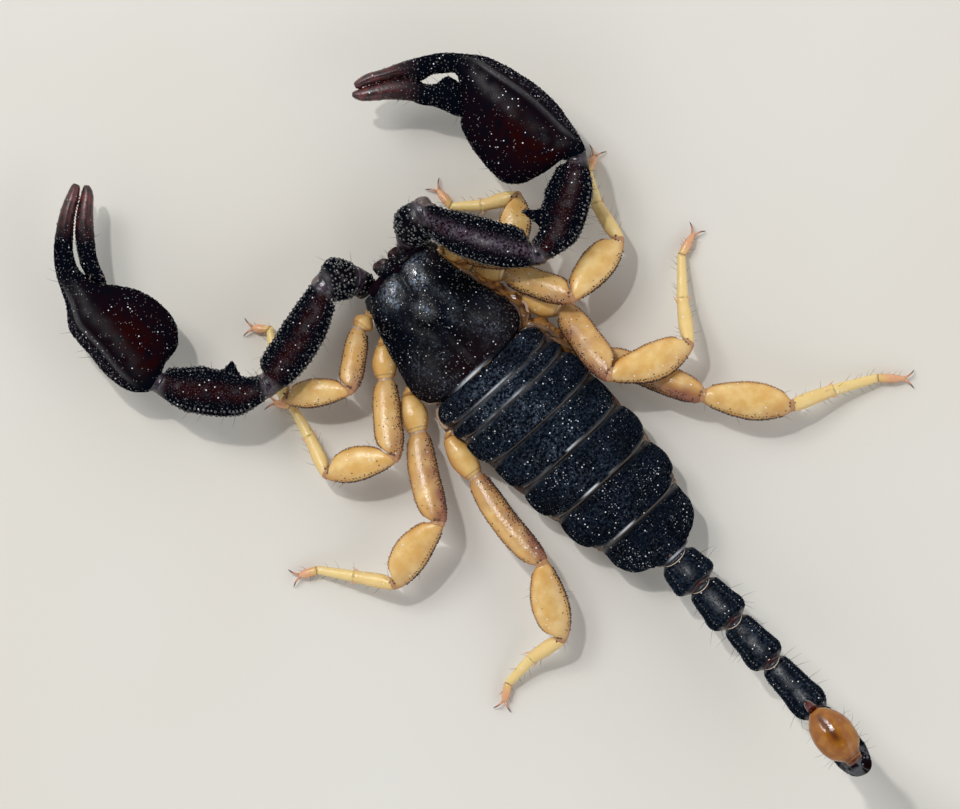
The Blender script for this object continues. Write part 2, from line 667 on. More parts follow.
def arm_cuticle(tree, colours):
    """Hardened cuticle of the pincers, glossy: deep oxblood where it is thin in the middle of each face,
    black along its beaded keels, and red-brown at the fingers' tips, with a few specks of dust."""
    body = layered(
        tree,
        colours.arm_dark,
        (patchy(tree, 0.6, 0.2, 0.6), colours.arm_face),
        ("grey", layered(tree, colours.arm_dark, (patchy(tree, 0.13, 0.38, 0.62), colours.arm_grey))),
        ("dark", colours.arm_dark),
        ("grain", colours.grain),
        ("tip", layered(tree, colours.finger_tip, (patchy(tree, 0.4), colours.arm_face))),
        (flecks(tree, 0.22, 0.4, 0.19, 2.2), colours.dust),
        (flecks(tree, 0.11, 0.16, 0.3, 0.45), colours.dust),
    )
    # Grains of the real shell are 0.05 mm apart; they are drawn at 0.1 mm so that they show.
    return {
        "Base_Color": body,
        "Roughness": by_mark(tree, "bare", 0.5, 0.18),
        "Normal": grained(tree, 0.1, 0.014, by_mark(tree, "bare", 0.35, 0.3)),
        "IOR": 1.6,  # a little over chitin's 1.56, for the wet look of its glints
        "Specular_IOR_Level": by_mark(tree, "bare", 0.0, 1.0),
    }


def leg_cuticle(tree, colours):
    """Thin waxy cuticle of the legs, straw to amber: light soaks into it, it deepens to orange down the sides
    and to a brown cast over the thighs, and dark grains and condyles stand on it."""
    body = layered(
        tree,
        colours.leg,
        (patchy(tree, 0.7, 0.3, 0.8), colours.leg_light),
        ("side", colours.leg_side),
        ("tint", colours.leg_brown),
        ("pale", colours.leg_pale),
        ("pink", colours.leg_pink),
        (flecks(tree, 0.2, 0.4, 0.24, 1.6), colours.dust),
        ("edge", colours.leg_edge),
        ("joint", colours.leg_joint),
    )
    return {
        "Base_Color": body,
        "Roughness": by_mark(tree, "joint", 0.24, 0.2),
        "Normal": wrinkled(tree, 0.14, 0.035),
        "Subsurface_Weight": 0.25,
        "Subsurface_Radius": (1.0, 0.55, 0.25),
        "Subsurface_Scale": 0.3 * MM,
        "IOR": 1.5,
    }


def belly_cuticle(tree, colours):
    """Cuticle of the underside, brown and leathery: smooth, with a soft shine, darker in front and paler at
    its seams, where soft skin shows."""
    body = layered(
        tree,
        colours.belly,
        (patchy(tree, 1.2), colours.belly_dark),
        ("dark", colours.belly_dark),
        ("black", colours.arm_dark),
        ("rim", colours.membrane),
    )
    return {
        "Base_Color": body,
        "Roughness": 0.38,
        "Normal": grained(tree, 0.16, 0.015),
        "IOR": 1.52,
    }


def membrane_skin(tree, colours):
    """Soft joint skin, thin and folded: grey-pink and half clear, wet-looking, amber on the legs and flanks,
    purple-grey on the arms and dark red on the tail."""
    body = layered(
        tree,
        colours.membrane,
        ("amber", colours.membrane_amber),
        ("purple", layered(tree, colours.membrane_dark, (patchy(tree, 0.35), colours.arm_dark))),
        ("red", colours.membrane_red),
        ("flesh", layered(tree, colours.flank, (patchy(tree, 0.5, 0.38, 0.62), colours.flank_brown))),
        ("dark", colours.belly_dark),
        ("black", colours.shell),
    )
    return {
        "Base_Color": body,
        "Roughness": 0.22,
        "Normal": wrinkled(tree, 0.15, 0.03),
        "Subsurface_Weight": 0.2,
        "Subsurface_Radius": (1.0, 0.7, 0.5),
        "Subsurface_Scale": 0.15 * MM,
    }


def telson_cuticle(tree, colours):
    """Smooth hard cuticle of the sting's bulb, orange-brown and polished, with a dark stripe down it."""
    body = layered(
        tree,
        colours.telson,
        (patchy(tree, 0.6), colours.telson_light),
        ("side", colours.telson_dark),
        ("stripe", colours.telson_dark),
        (flecks(tree, 0.3, 0.15, 0.14, 0.8), colours.dust),
    )
    return {
        "Base_Color": body,
        "Roughness": 0.2,
        "Normal": wrinkled(tree, 0.2, 0.03),
        "Subsurface_Weight": 0.15,
        "Subsurface_Radius": (1.0, 0.4, 0.15),
        "Subsurface_Scale": 0.3 * MM,
    }


def claw_horn(tree, colours):
    """Horny cuticle of claws, fangs and sting, polished: red-brown at the root, almost black at the point."""
    ends = (("pale", colours.leg_pink), ("point", colours.horn_dark))
    body = layered(tree, colours.horn, (patchy(tree, 0.3), colours.leg_joint), *ends)
    return {"Base_Color": body, "Roughness": 0.22, "Normal": wrinkled(tree, 0.1, 0.01)}


def eye_lens(tree, colours):
    """The clear lens over a black eye: as glossy as wet glass, with a faint brown depth."""
    body = layered(tree, colours.eye, (patchy(tree, 0.2), colours.shell_brown))
    return {"Base_Color": body, "Roughness": 0.05, "Coat_Weight": 1.0, "Coat_Roughness": 0.03}


def bristle_horn(tree, colours):
    """Stiff hairs of dark brown cuticle, lighter where light passes through them."""
    body = layered(tree, colours.hair, (patchy(tree, 1.0), colours.hair_light))
    return {"Base_Color": body, "Roughness": 0.4}


def painted_floor(tree, colours):
    """Smooth emulsion on a flat board: matt, pale cream, and even."""
    body = layered(tree, colours.floor, (patchy(tree, 25.0, 0.2, 0.8), colours.floor_shade))
    return {"Base_Color": body, "Roughness": 0.65}


FINISHES = {
    "black_grained_cuticle": shell_cuticle,
    "oxblood_grained_cuticle": arm_cuticle,
    "amber_cuticle": leg_cuticle,
    "brown_belly_cuticle": belly_cuticle,
    "joint_membrane": membrane_skin,
    "orange_polished_cuticle": telson_cuticle,
    "red_brown_horn": claw_horn,
    "clear_eye_lens": eye_lens,
    "brown_bristle": bristle_horn,
    "cream_emulsion": painted_floor,
}


def finish(name):
    """The named material, of one Principled shader; made once."""
    if name not in bpy.data.materials:
        material = bpy.data.materials.new(name)
        material.use_nodes = True
        tree = material.node_tree
        tree.nodes.clear()
        inputs = FINISHES[name](tree, bpy.context.scene.scorpion_colours)
        surface = node(tree, "ShaderNodeBsdfPrincipled", "BSDF", **inputs)
        node(tree, "ShaderNodeOutputMaterial", Surface=surface)
    return bpy.data.materials[name]


# --- the limbs' solids, segment by segment ---

HEADWARDS = np.array([0.0, -1000.0, 0.0])
TAILWARDS = np.array([0.0, 1000.0, 0.0])
LEGS = [f"leg_{number}_{side}" for number in (1, 2, 3, 4) for side in SIDES]
ARMS = [f"arm_{side}" for side in SIDES]


def limb_rings(limb):
    """The rings of each segment of a leg or an arm, from the body outwards."""
    flip = limb.endswith("right")
    upper = rings_of(f"{limb}_femur" if limb in LEGS else f"{limb}_trochanter", None, flip)
    if limb in LEGS:
        middle = rings_of(f"{limb}_patella", upper[-1].mean(axis=0), flip)
        foot = rings_of(f"{limb}_foot", middle[-1].mean(axis=0), flip)
        return {"trochanter": upper[:3], "femur": upper[2:], "patella": middle, "tibia": foot[:4],
                "basitarsus": foot[3:6], "telotarsus": foot[5:]}
    thigh = rings_of(f"{limb}_femur", upper[-1].mean(axis=0), flip)
    middle = rings_of(f"{limb}_patella", thigh[-1].mean(axis=0), flip)
    hand = rings_of(f"{limb}_hand", middle[-1].mean(axis=0), flip)
    finger = rings_of(f"{limb}_finger", hand[0].mean(axis=0), flip)
    return {"coxa": upper[:3], "trochanter": upper[2:], "femur": thigh, "patella": middle, "hand": hand,
            "finger": finger}


# For each segment: how many millimetres it is drawn back from its two joints, and over what length and by
# which share its two ends are rounded off, so that the joint skin shows between neighbours.
ENDS = {
    "leg": {
        "trochanter": ((0.0, 0.03), ((0.25, 0.15), (0.22, 0.2))),
        "femur": ((0.04, 0.04), ((0.35, 0.25), (0.35, 0.22))),
        "patella": ((0.05, 0.04), ((0.5, 0.3), (0.4, 0.3))),
        "tibia": ((0.04, 0.0), ((0.3, 0.25), (0.1, 0.12))),
        "basitarsus": ((0.02, 0.02), ((0.1, 0.15), (0.15, 0.2))),
        "telotarsus": ((0.04, 0.6), ((0.15, 0.25), (0.3, 0.4))),
    },
    "arm": {
        "coxa": ((0.0, 0.04), ((0.2, 0.1), (0.2, 0.2))),
        "trochanter": ((0.02, 0.06), ((0.3, 0.15), (0.4, 0.18))),
        "femur": ((0.06, 0.05), ((0.35, 0.16), (0.35, 0.16))),
        "patella": ((0.05, 0.03), ((0.4, 0.2), (0.3, 0.15))),
        "hand": ((0.03, 0.0), ((0.3, 0.15), (0.15, 0.3))),
        "finger": ((0.0, 0.0), ((0.0, 0.0), (0.15, 0.3))),
    },
}
made_patches = {}


def limb_patches(limb):
    """A fine skin for each segment of a limb, without its relief; made once."""
    if limb not in made_patches:
        kind = "leg" if limb in LEGS else "arm"
        found = {}
        for segment, rings in limb_rings(limb).items():
            if segment == "finger":
                rings = with_neck(rings, 0.45, 0.85)
            widest = max(np.linalg.norm(np.roll(ring, -1, axis=0) - ring, axis=1).sum() for ring in rings)
            columns = int(round(widest / millimetres("pitch") / 4)) * 4
            found[segment] = Patch(rings, millimetres("pitch"), columns, *ENDS[kind][segment])
        made_patches[limb] = found
    return made_patches[limb]


def sleeve(gathered, before, after, size, reach, marks, columns=32):
    """A closed roll of soft skin from inside the end of one segment to inside the start of the next."""
    inner = []
    for rings, from_end in ((rounder(before, columns), True), (rounder(after, columns), False)):
        along = stations(rings)
        depth = min(reach, along[-1] * 0.4)
        inner.append(through(along, rings, np.array([along[-1] - depth if from_end else depth]))[0])
    middle = (rounder(before[-1:], columns)[0] + rounder(after[:1], columns)[0]) / 2
    rings = np.stack([sized(inner[0], size * 0.78), sized(middle, size), sized(inner[1], size * 0.78)])
    points = through([0, 1, 2], rings, np.linspace(0, 2, 11))
    folds = 0.025 * np.cos(np.linspace(0, 6 * math.pi, 11))[:, None, None]
    points = points + facing(points) * folds
    values = {name: np.full(points.shape[:2], value) for name, value in marks.items()}
    gathered.tube(points, values, dome=True)


def horn(gathered, path, radii, sides=10, marks=None, flat=1.0, relief=0.0):
    """A closed body along a path, such as a claw or a fold. `flat` is its height over its width, and `relief`
    is how high its own lumps stand."""
    path, radii = np.asarray(path, float), np.asarray(radii, float)
    along = unit(np.gradient(path, axis=0))
    helper = UP if abs(along[0] @ UP) < 0.9 else np.array([1.0, 0.0, 0.0])
    across = unit(np.cross(along, helper))
    upright = np.cross(across, along) * flat
    turns = np.arange(sides) * 2 * math.pi / sides
    round_way = np.cos(turns)[:, None] * across[:, None] + np.sin(turns)[:, None] * upright[:, None]
    grid = path[:, None] + radii[:, None, None] * round_way
    if relief:
        lumps = clouds(grid, 0.34, 5) + 0.5 * clouds(grid, 0.13, 6) - 0.75
        grid = grid + round_way * (relief * lumps)[..., None]
    values = {name: np.repeat(np.broadcast_to(value, len(path))[:, None], sides, axis=1)
              for name, value in (marks or {}).items()}
    gathered.tube(grid, values, hollow=(radii[0], radii[-1]), dome=True)


def bristles(gathered, patch, places, seed, cell, longest=None, lean=0.5):
    """Stiff hairs on a skin. Each is a patch of its own in the bake's map, at its root's place on the skin's
    unwrap, which is one of eight by eight cells."""
    lot = lots(len(places), seed)
    kept = hashed(lot, 1) < bpy.context.scene.scorpion_sizes.hairiness
    places, lot = places[kept], lot[kept]
    if not len(places):
        return
    roots = patch.read(patch.finished(), places)
    normals = patch.read(patch.normals, places)
    ahead = unit(patch.read(np.gradient(patch.points, axis=0), places))
    swing = (hashed(lot, 2) - 0.5)[:, None] * 0.7
    way = normals + ahead * lean * (0.4 + 1.2 * hashed(lot, 3)[:, None]) + np.cross(normals, ahead) * swing
    way = unit(way)
    long = (longest or millimetres("hair")) * (0.55 + 0.45 * hashed(lot, 4))
    side = unit(np.cross(way, ahead + 0.3 * normals))
    other = np.cross(way, side)
    turns = np.arange(4) * math.pi / 2
    rings = []
    for step, width in ((-0.05, 1.0), (0.35, 0.8), (0.7, 0.5), (1.0, 0.16)):
        centre = roots + way * (long * step)[:, None] + ahead * (long * 0.12 * step * step)[:, None]
        radius = millimetres("hair_width") / 2 * width
        rings.append(centre[:, None] + radius * (np.cos(turns)[None, :, None] * side[:, None]
                                                 + np.sin(turns)[None, :, None] * other[:, None]))
    points = np.stack(rings, axis=1).reshape(len(places), 16, 3)
    points[..., 2] = np.maximum(points[..., 2], 0.01)
    index = np.arange(16).reshape(4, 4)
    beside = np.roll(index, -1, axis=1)
    quads = np.stack([index[:-1], beside[:-1], beside[1:], index[1:]], axis=-1).reshape(-1, 4)
    quads = np.concatenate([quads, index[:1, ::-1], index[3:]])
    if volume(points[0], quads) < 0:
        quads = quads[:, ::-1]
    each = np.arange(len(places))[:, None, None] * 16
    spot = np.array([[0.0, 0.0], [0.001, 0.0], [0.001, 0.001], [0.0, 0.001]])
    own = np.concatenate([spot + 0.001 * np.array([k % 2, k // 2]) for k in range(4)]) * 1.5
    corner = np.array([cell % 8, cell // 8]) / 8
    share_along = places[:, 0] / patch.length
    root_uv = corner + (0.06 + 0.88 * np.stack([places[:, 1] % 1.0, share_along], axis=-1)) / 8
    uv = root_uv[:, None] + own[None]
    gathered.add(points, [(quads + each).reshape(-1, 4)], {"bake_u": uv[..., 0], "bake_v": uv[..., 1]})


def seed_of(name):
    """A whole number that belongs to a name."""
    return sum(ord(letter) * (k + 1) for k, letter in enumerate(name)) % 9973


# --- head ---


def plate_patch(node, pitch, overlap=0.0):
    """A fine skin over a plate of the trunk; its top lies from v = 0, the left edge, to v = 2/3, the right.

    `overlap` is how many millimetres it reaches over the next plate.
    """
    rings = rings_of(node, HEADWARDS)
    if overlap:
        rings = np.concatenate([rings, rings[-1:] + np.array([0.0, overlap, -0.01])])
    tops = rings[:, : rings.shape[1] * 2 // 3 + 1]
    widest = np.linalg.norm(np.diff(tops, axis=1), axis=2).sum(axis=1).max()
    return Patch(rings, pitch, int(round(widest / pitch / 2)) * 3)


def midline_distance(patch):
    """How far each point lies to the left of the plate's own middle, in millimetres."""
    low, high = patch.points[..., 0].min(axis=1), patch.points[..., 0].max(axis=1)
    return patch.points[..., 0] - ((low + high) / 2)[:, None]


def edge_distance(patch):
    """Millimetres over the top of a plate from its nearer side edge; less than zero underneath."""
    return np.minimum(patch.v, 2 / 3 - patch.v) * patch.girth


class SCORPION_OT_head_shield(bpy.types.Operator):
    """Skins the head shield: two polished lobes in front, the hill that bears the eyes, furrows and a rim"""

    bl_idname = "scorpion.head_shield"
    bl_label = "Head shield"

    def execute(self, context):
        patch = plate_patch("carapace", millimetres("pitch"))
        # The shield's own midline lies to the left of the outline's, where the eyes are.
        eyes = sum((np.array(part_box(f"eye_{side}")).mean(axis=0) for side in SIDES), np.zeros(3)) / 2 / MM
        ahead, edge = patch.mm, edge_distance(patch)
        hill_at = eyes[1] - patch.points[0, :, 1].mean()
        lean = eyes[0] - patch.points[np.abs(ahead[:, 0] - hill_at).argmin(), :, 0].mean()
        left = midline_distance(patch) - lean
        behind = patch.behind
        top = step_up(0.0, 0.12, edge)
        past_hill = ahead - hill_at
        hill = np.hypot(left, past_hill * 0.8)
        # A furrow runs along the middle, parts round the eyes' hill, and widens into the hollow behind.
        furrow = ridge(left, 0.22 + 0.06 * np.abs(past_hill)) * step_up(0.2, 0.7, hill)
        furrow *= step_up(0.1, 0.9, behind)
        side_furrow = ridge(np.abs(left) - (0.55 + 0.3 * past_hill), 0.55) * step_up(hill_at, 4.0, ahead)
        side_furrow *= step_up(0.1, 0.8, behind)
        front_furrow = ridge(np.abs(left) - (0.25 + 0.75 * ahead), 0.4) * step_up(0.9, 1.7, ahead)
        front_furrow *= 1 - step_up(2.2, 3.4, ahead)
        rear_furrow = ridge(behind - 0.8, 0.4) * step_up(0.2, 0.8, np.abs(left)) * step_up(0.1, 0.6, edge)
        lobes = ridge(np.hypot(np.abs(left) - 0.68, (ahead - 0.72) * 0.85), 1.05)
        # A crescent stands on each side of the hill and bends in behind it; two low humps lie further back.
        bend = 1.05 - 0.35 * step_up(0.6, 1.8, past_hill)
        crescents = ridge(np.abs(left) - bend, 0.5) * ridge(past_hill - 0.85, 1.5)
        humps = ridge(np.hypot(np.abs(left) - 1.85, (behind - 1.5) * 0.7), 1.15)
        crest = ridge(left - 0.08, 0.22) * ridge(behind - 1.7, 1.6)
        bare = 1.4 * lobes + 0.9 * step_up(0.75, 0.25, hill) + 0.35 * crescents + 0.3 * humps + 0.25 * crest
        bare = np.clip(bare * (0.1 + 0.4 * lobes + 0.8 * patch.clouds(0.45, 19)), 0, 1) * top
        bloom = 0.85 * lobes + 0.6 * ridge(hill, 0.5) + 0.2 * crescents + 0.2 * humps + 0.2 * crest
        bloom = bloom * step_up(0.2, 0.8, patch.clouds(0.6, 21)) * (1 - 0.5 * furrow)
        rear = step_up(millimetres("rim") * 2.2, millimetres("rim") * 0.8, behind) * top
        corner_rim = ridge(edge - 0.09, 0.07) * step_up(3.2, 4.6, ahead)
        patch.height -= 0.13 * furrow + 0.08 * side_furrow + 0.09 * front_furrow + 0.12 * rear_furrow
        patch.height += (0.22 * lobes + 0.15 * crescents + 0.14 * humps + 0.07 * crest) * top
        patch.height += 0.1 * ridge(np.hypot(left, past_hill * 0.6), 0.5) * top
        patch.height += 0.06 * rear + 0.05 * corner_rim + 0.02 * ridge(edge - 0.06, 0.08)
        patch.height -= 0.08 * ridge(behind - 0.3, 0.14) * top
        patch.height -= 0.05 * ridge(edge - 0.26, 0.12) * step_up(3.2, 4.6, ahead)
        patch.height += 0.12 * (patch.clouds(0.9, 12) - 0.5) * top
        patch.height += 0.035 * (patch.clouds(0.3, 14) - 0.5) * top * (1 - 0.5 * bare)
        brown = ridge(np.hypot(left + 2.0, ahead - 0.5), 1.1) * 0.6
        brown = np.maximum(brown, step_up(3.6, 5.8, ahead) * (0.35 + 0.5 * patch.clouds(1.4, 13)))
        lit = np.clip(ridge(left - 0.7, 1.1) * 1.2, 0, 1) * rear
        dusty = patch.clouds(0.9, 15) * np.clip(0.2 * bare + 0.22 * step_up(3.4, 5.4, ahead), 0, 1)
        glint = step_up(0.9, 0.3, edge) * (1 - step_up(2.0, 3.6, ahead))
        glint = np.clip(glint + 0.9 * lobes + 0.7 * ridge(hill, 0.9), 0, 1) * top
        head = Gathered()
        marks = {"bare": bare, "glint": glint, "rim": lit, "brown": brown * (1 - rear), "dusty": dusty}
        head.tube(patch.finished(), {**marks, "bloom": bloom * top})
        crowd = step_up(0.8, 0.25, edge) * (1 - 0.6 * step_up(3.0, 5.0, ahead))
        crowd = np.maximum(crowd, step_up(0.45, 0.1, ahead))
        crowd = np.maximum(crowd, 0.45 * patch.clouds(0.9, 16)) * top * (1 - rear)
        grain, spacing = millimetres("grain"), millimetres("grain_spacing")
        glossy = {"grain": 1.0, "bare": 0.6}
        head.studs(patch, patch.field(spacing * 0.7, 11, crowd), grain * 1.25, 12, marks=glossy)
        fine = patch.field(spacing * 0.55, 17, (0.35 + 0.4 * lobes) * top * (1 - rear))
        head.studs(patch, fine, grain * 0.75, 18, marks={"grain": 1.0, "bare": 0.12}, sides=6)
        head.piece("head_shield", "black_grained_cuticle", "shell", ["carapace"])
        return {"FINISHED"}


class SCORPION_OT_eyes(bpy.types.Operator):
    """Makes the two large eyes on their hill and two small ones at each front corner of the head shield"""

    bl_idname = "scorpion.eyes"
    bl_label = "Eyes"

    def execute(self, context):
        for side, sign in zip(SIDES, (1, -1)):
            corners = [np.array(corner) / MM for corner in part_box(f"eye_{side}")]
            radius = (corners[1] - corners[0]).min() / 2
            middle = (corners[0] + corners[1]) / 2
            way = np.array([sign * 0.75, 0.0, 0.66])
            # The lens: a clear dome that flattens into a skirt, where the socket holds it.
            height = np.sin(np.linspace(-1.2, 1.5, 15))
            girth = np.cos(np.linspace(-1.2, 1.5, 15)) * (1 + 0.12 * ridge(height - 0.1, 0.3))
            lens = Gathered()
            path = middle + way * radius * height[:, None]
            horn(lens, path, radius * girth, 36)
            lens.piece(f"lens_{side}", "clear_eye_lens", "eye", [f"eye_{side}"])
            # The socket: a grained black lid round the lens.
            across = np.cross(way, (0.0, 1.0, 0.0))
            turns = np.linspace(0, 2 * math.pi, 33)[:, None]
            ring = np.cos(turns) * across + np.sin(turns) * np.array([0.0, 1.0, 0.0])
            socket = Gathered()
            thick = 0.042 + 0.012 * np.cos(5 * turns[:, 0])
            horn(socket, middle + ring * radius * 1.12 + way * 0.02, thick, 12, {"bare": 0.6}, relief=0.02)
            socket.piece(f"socket_{side}", "black_grained_cuticle", "shell")
            small = Gathered()
            patch = plate_patch("carapace", millimetres("pitch"))
            line = 0.075 if side == "left" else 2 / 3 - 0.075
            spots = np.array([[0.34, line], [0.62, line - sign * 0.008]])
            small.studs(patch, spots, 0.085, 3, sides=16, sunk=0.2)
            small.piece(f"small_eyes_{side}", "clear_eye_lens", "eye")
        return {"FINISHED"}


class SCORPION_OT_chelicerae(bpy.types.Operator):
    """Makes the two jaws in front of the mouth, each a swollen hand with a fixed and a movable fang"""

    bl_idname = "scorpion.chelicerae"
    bl_label = "Chelicerae"

    def execute(self, context):
        mouth = Gathered()
        roots = [rings_of(f"chelicera_{side}", TAILWARDS)[0].mean(axis=0) for side in SIDES]
        across = np.linspace(0, 1, 9)[:, None]
        aside = (roots[0] - roots[1]) * 1.15
        path = roots[0] + aside + (roots[1] - roots[0] - 2 * aside) * across + np.array([0.0, 0.08, -0.18])
        radii = 0.36 + 0.06 * np.cos(np.linspace(-1, 1, 9) * math.pi)
        horn(mouth, path, radii, 20, {"dark": 0.9, "tip": 0.05}, relief=0.06)
        mouth.piece("mouth", "oxblood_grained_cuticle", "arm")
        for side, sign in zip(SIDES, (1, -1)):
            rings = rings_of(f"chelicera_{side}", TAILWARDS)
            patch = Patch(rings, millimetres("pitch") * 0.8, 52, (0.0, 0.36), ((0.0, 0.0), (0.45, 0.35)))
            tip = step_up(0.3, 0.75, patch.u)
            patch.height -= 0.14 * patch.line(0.22, 0.2) * step_up(0.1, 0.4, patch.u)
            patch.height += 0.26 * (patch.clouds(0.32, 60) - 0.5)
            seed = seed_of(side)
            jaw = Gathered()
            patch.height += 0.05 * step_up(0.1, 0.3, patch.u)
            shine = step_up(0.45, 0.75, patch.clouds(0.25, 61))
            marks = {"dark": 0.9 - 0.5 * tip, "bare": 0.05 + 0.4 * shine, "tip": 0.2 * tip}
            jaw.tube(patch.finished(), marks, dome=True, hollow=(0.05, 0.1))
            grains_at = patch.field(0.17, seed, 0.8 * step_up(1.0, 0.6, patch.u))
            jaw.studs(patch, grains_at, 0.055, seed, marks={"grain": 1.0, "bare": 0.8})
            root = rounder(rings[:1], 40)[0]
            back = np.array([0.0, 0.25, 0.0])
            steps = ((1.3, 0.6), (0.8, 0.8), (-0.2, 1.0), (-0.8, 0.9))
            collar = np.stack([sized(root, size, back * step) for step, size in steps])
            jaw.tube(collar, {"dark": np.ones(collar.shape[:2])}, dome=True)
            jaw.piece(f"jaw_{side}", "oxblood_grained_cuticle", "arm", [f"chelicera_{side}"])
            fangs = Gathered()
            end = patch.points[-1].mean(axis=0)
            ahead = unit(end - patch.points[-6].mean(axis=0))
            outwards = np.array([sign, 0.0, 0.0])
            for aside, inwards in ((0.13, 0.2), (-0.13, -0.02)):
                steps = np.linspace(0, 1, 7)
                t = steps[:, None]
                bent = outwards * (aside - inwards * t * t) - UP * (0.1 + 0.3 * t * t)
                marks = {"point": step_up(0.4, 1.0, steps), "pale": 0.12}
                horn(fangs, end + ahead * (0.22 * t - 0.12) + bent, 0.13 - 0.105 * steps, marks=marks)
            fangs.piece(f"fangs_{side}", "red_brown_horn", "arm")
            hairs = Gathered()
            places = patch.field(0.16, seed + 1, 0.6 * step_up(0.4, 0.7, patch.u))
            bristles(hairs, patch, places, seed, 0, 0.4, 1.2)
            hairs.piece(f"jaw_{side}_bristles", "brown_bristle", "arm")
        return {"FINISHED"}


# --- trunk ---


class SCORPION_OT_back_plates(bpy.types.Operator):
    """Skins the seven back plates: a bare strip in front, a grained field, and a thin smooth rim behind"""

    bl_idname = "scorpion.back_plates"
    bl_label = "Back plates"

    def execute(self, context):
        rim = millimetres("rim")
        grain, spacing = millimetres("grain"), millimetres("grain_spacing")
        lining = []
        for number in range(1, 8):
            patch = plate_patch(f"tergite_{number}", millimetres("pitch"), 0.1 if number < 7 else 0.0)
            left, edge = midline_distance(patch), edge_distance(patch)
            behind = patch.behind
            top = step_up(0.0, 0.1, edge)
            front = step_up(0.3, 0.12, patch.mm) * (number > 1)
            rear = step_up(rim * 1.2, rim * 0.7, behind) * top
            field = top * (1 - front) * (1 - rear)
            swell = patch.clouds(1.0, 30 + number) - 0.5
            patch.height -= 0.08 * front - 0.025 * rear
            patch.height -= 0.04 * ridge(behind - rim * 2.4, rim) * top
            patch.height += 0.05 * ridge(left, 0.14) * field + 0.1 * swell * field
            if number in (5, 6):  # a broad soft fold in front of the rim, on the left of the middle
                fold = ridge(behind - 0.32, 0.17) * ridge(left - 0.6, 2.2) * top
                patch.height += 0.06 * fold
            patch.height += 0.03 * (patch.clouds(0.3, 50 + number) - 0.5) * field
            pits = ridge(np.hypot(np.abs(left) - 1.35, behind - 0.45 * patch.length), 0.3)
            patch.height -= 0.05 * pits * field
            if number > 2:  # the soft flank's upper fold shows along the right edge
                fold = ridge(edge - 0.3, 0.07) * (left < 0)
                patch.height -= 0.08 * fold
            patch.height += 0.03 * ridge(edge - 0.14, 0.1)
            keels = 0 * left
            if number == 7:
                for line in (0.45, 1.15):
                    keels = np.maximum(keels, ridge(np.abs(left) - line, 0.12) * step_up(0.35, 0.5, patch.u))
                patch.height += 0.05 * keels * field
            plate = Gathered()
            shine = np.clip(ridge(left - 0.5, 1.4) * 1.2, 0.05, 1)
            shine = shine * step_up(0.25, 0.6, patch.clouds(0.8, 44))
            lit = rear * shine + 0.5 * ridge(edge - 0.1, 0.05) * (left < 0) * (number > 2)
            if number in (5, 6):
                lit = np.maximum(lit, 0.35 * fold * patch.clouds(0.4, 48))
            dusty = (0.25 + 0.75 * patch.clouds(0.8, 46)) * (0.45 + 0.55 * step_up(7.5, 1.5, number))
            brown = (1 - step_up(1, 3, number)) * 0.5 * patch.clouds(1.0, 45)
            streak = 0.3 * ridge(left - 0.6, 1.6) * step_up(0.1, 0.5, patch.u) * patch.clouds(0.5, 49)
            bloom = streak * field * step_up(8, 1, number)
            glint = 0.4 * step_up(0.35, 0.8, patch.clouds(0.7, 52)) + 0.3 * step_up(0.6, 0.2, edge)
            bare = np.maximum(front * 0.5, rear * shine)
            marks = {"bare": bare, "rim": lit, "brown": brown, "dusty": dusty}
            plate.tube(patch.finished(), {**marks, "bloom": bloom, "glint": glint * field})
            fine = patch.field(spacing * 0.6, 20 + number, 0.5 * field * (0.4 + 0.6 * patch.u))
            plate.studs(patch, fine, grain * 0.55, number, marks={"dusty": 0.7, "bare": 0.3}, sides=6)
            crowd = np.maximum(0.25 * field * patch.u, 0.7 * keels)
            crowd = np.maximum(crowd, 0.6 * step_up(0.5, 0.2, edge) * top)
            coarse = patch.field(spacing * 0.8, 60 + number, crowd * (1 - rear))
            plate.studs(patch, coarse, grain * 0.95, number + 9, marks={"grain": 1.0, "bare": 0.6}, sides=6)
            plate.piece(f"back_plate_{number}", "black_grained_cuticle", "shell", [f"tergite_{number}"])
            lining.append(rings_of(f"tergite_{number}", HEADWARDS))
        lined = Gathered()
        for first, second in zip([rings_of("carapace", HEADWARDS)] + lining, lining):
            soft = 0.55 if second is lining[0] else 0.15
            marks = {"amber": soft, "black": 0.97 - soft}
            sleeve(lined, rounder(first, 48), rounder(second, 48), 0.97, 0.3, marks, 96)
        lined.piece("back_lining", "joint_membrane", "shell")
        return {"FINISHED"}


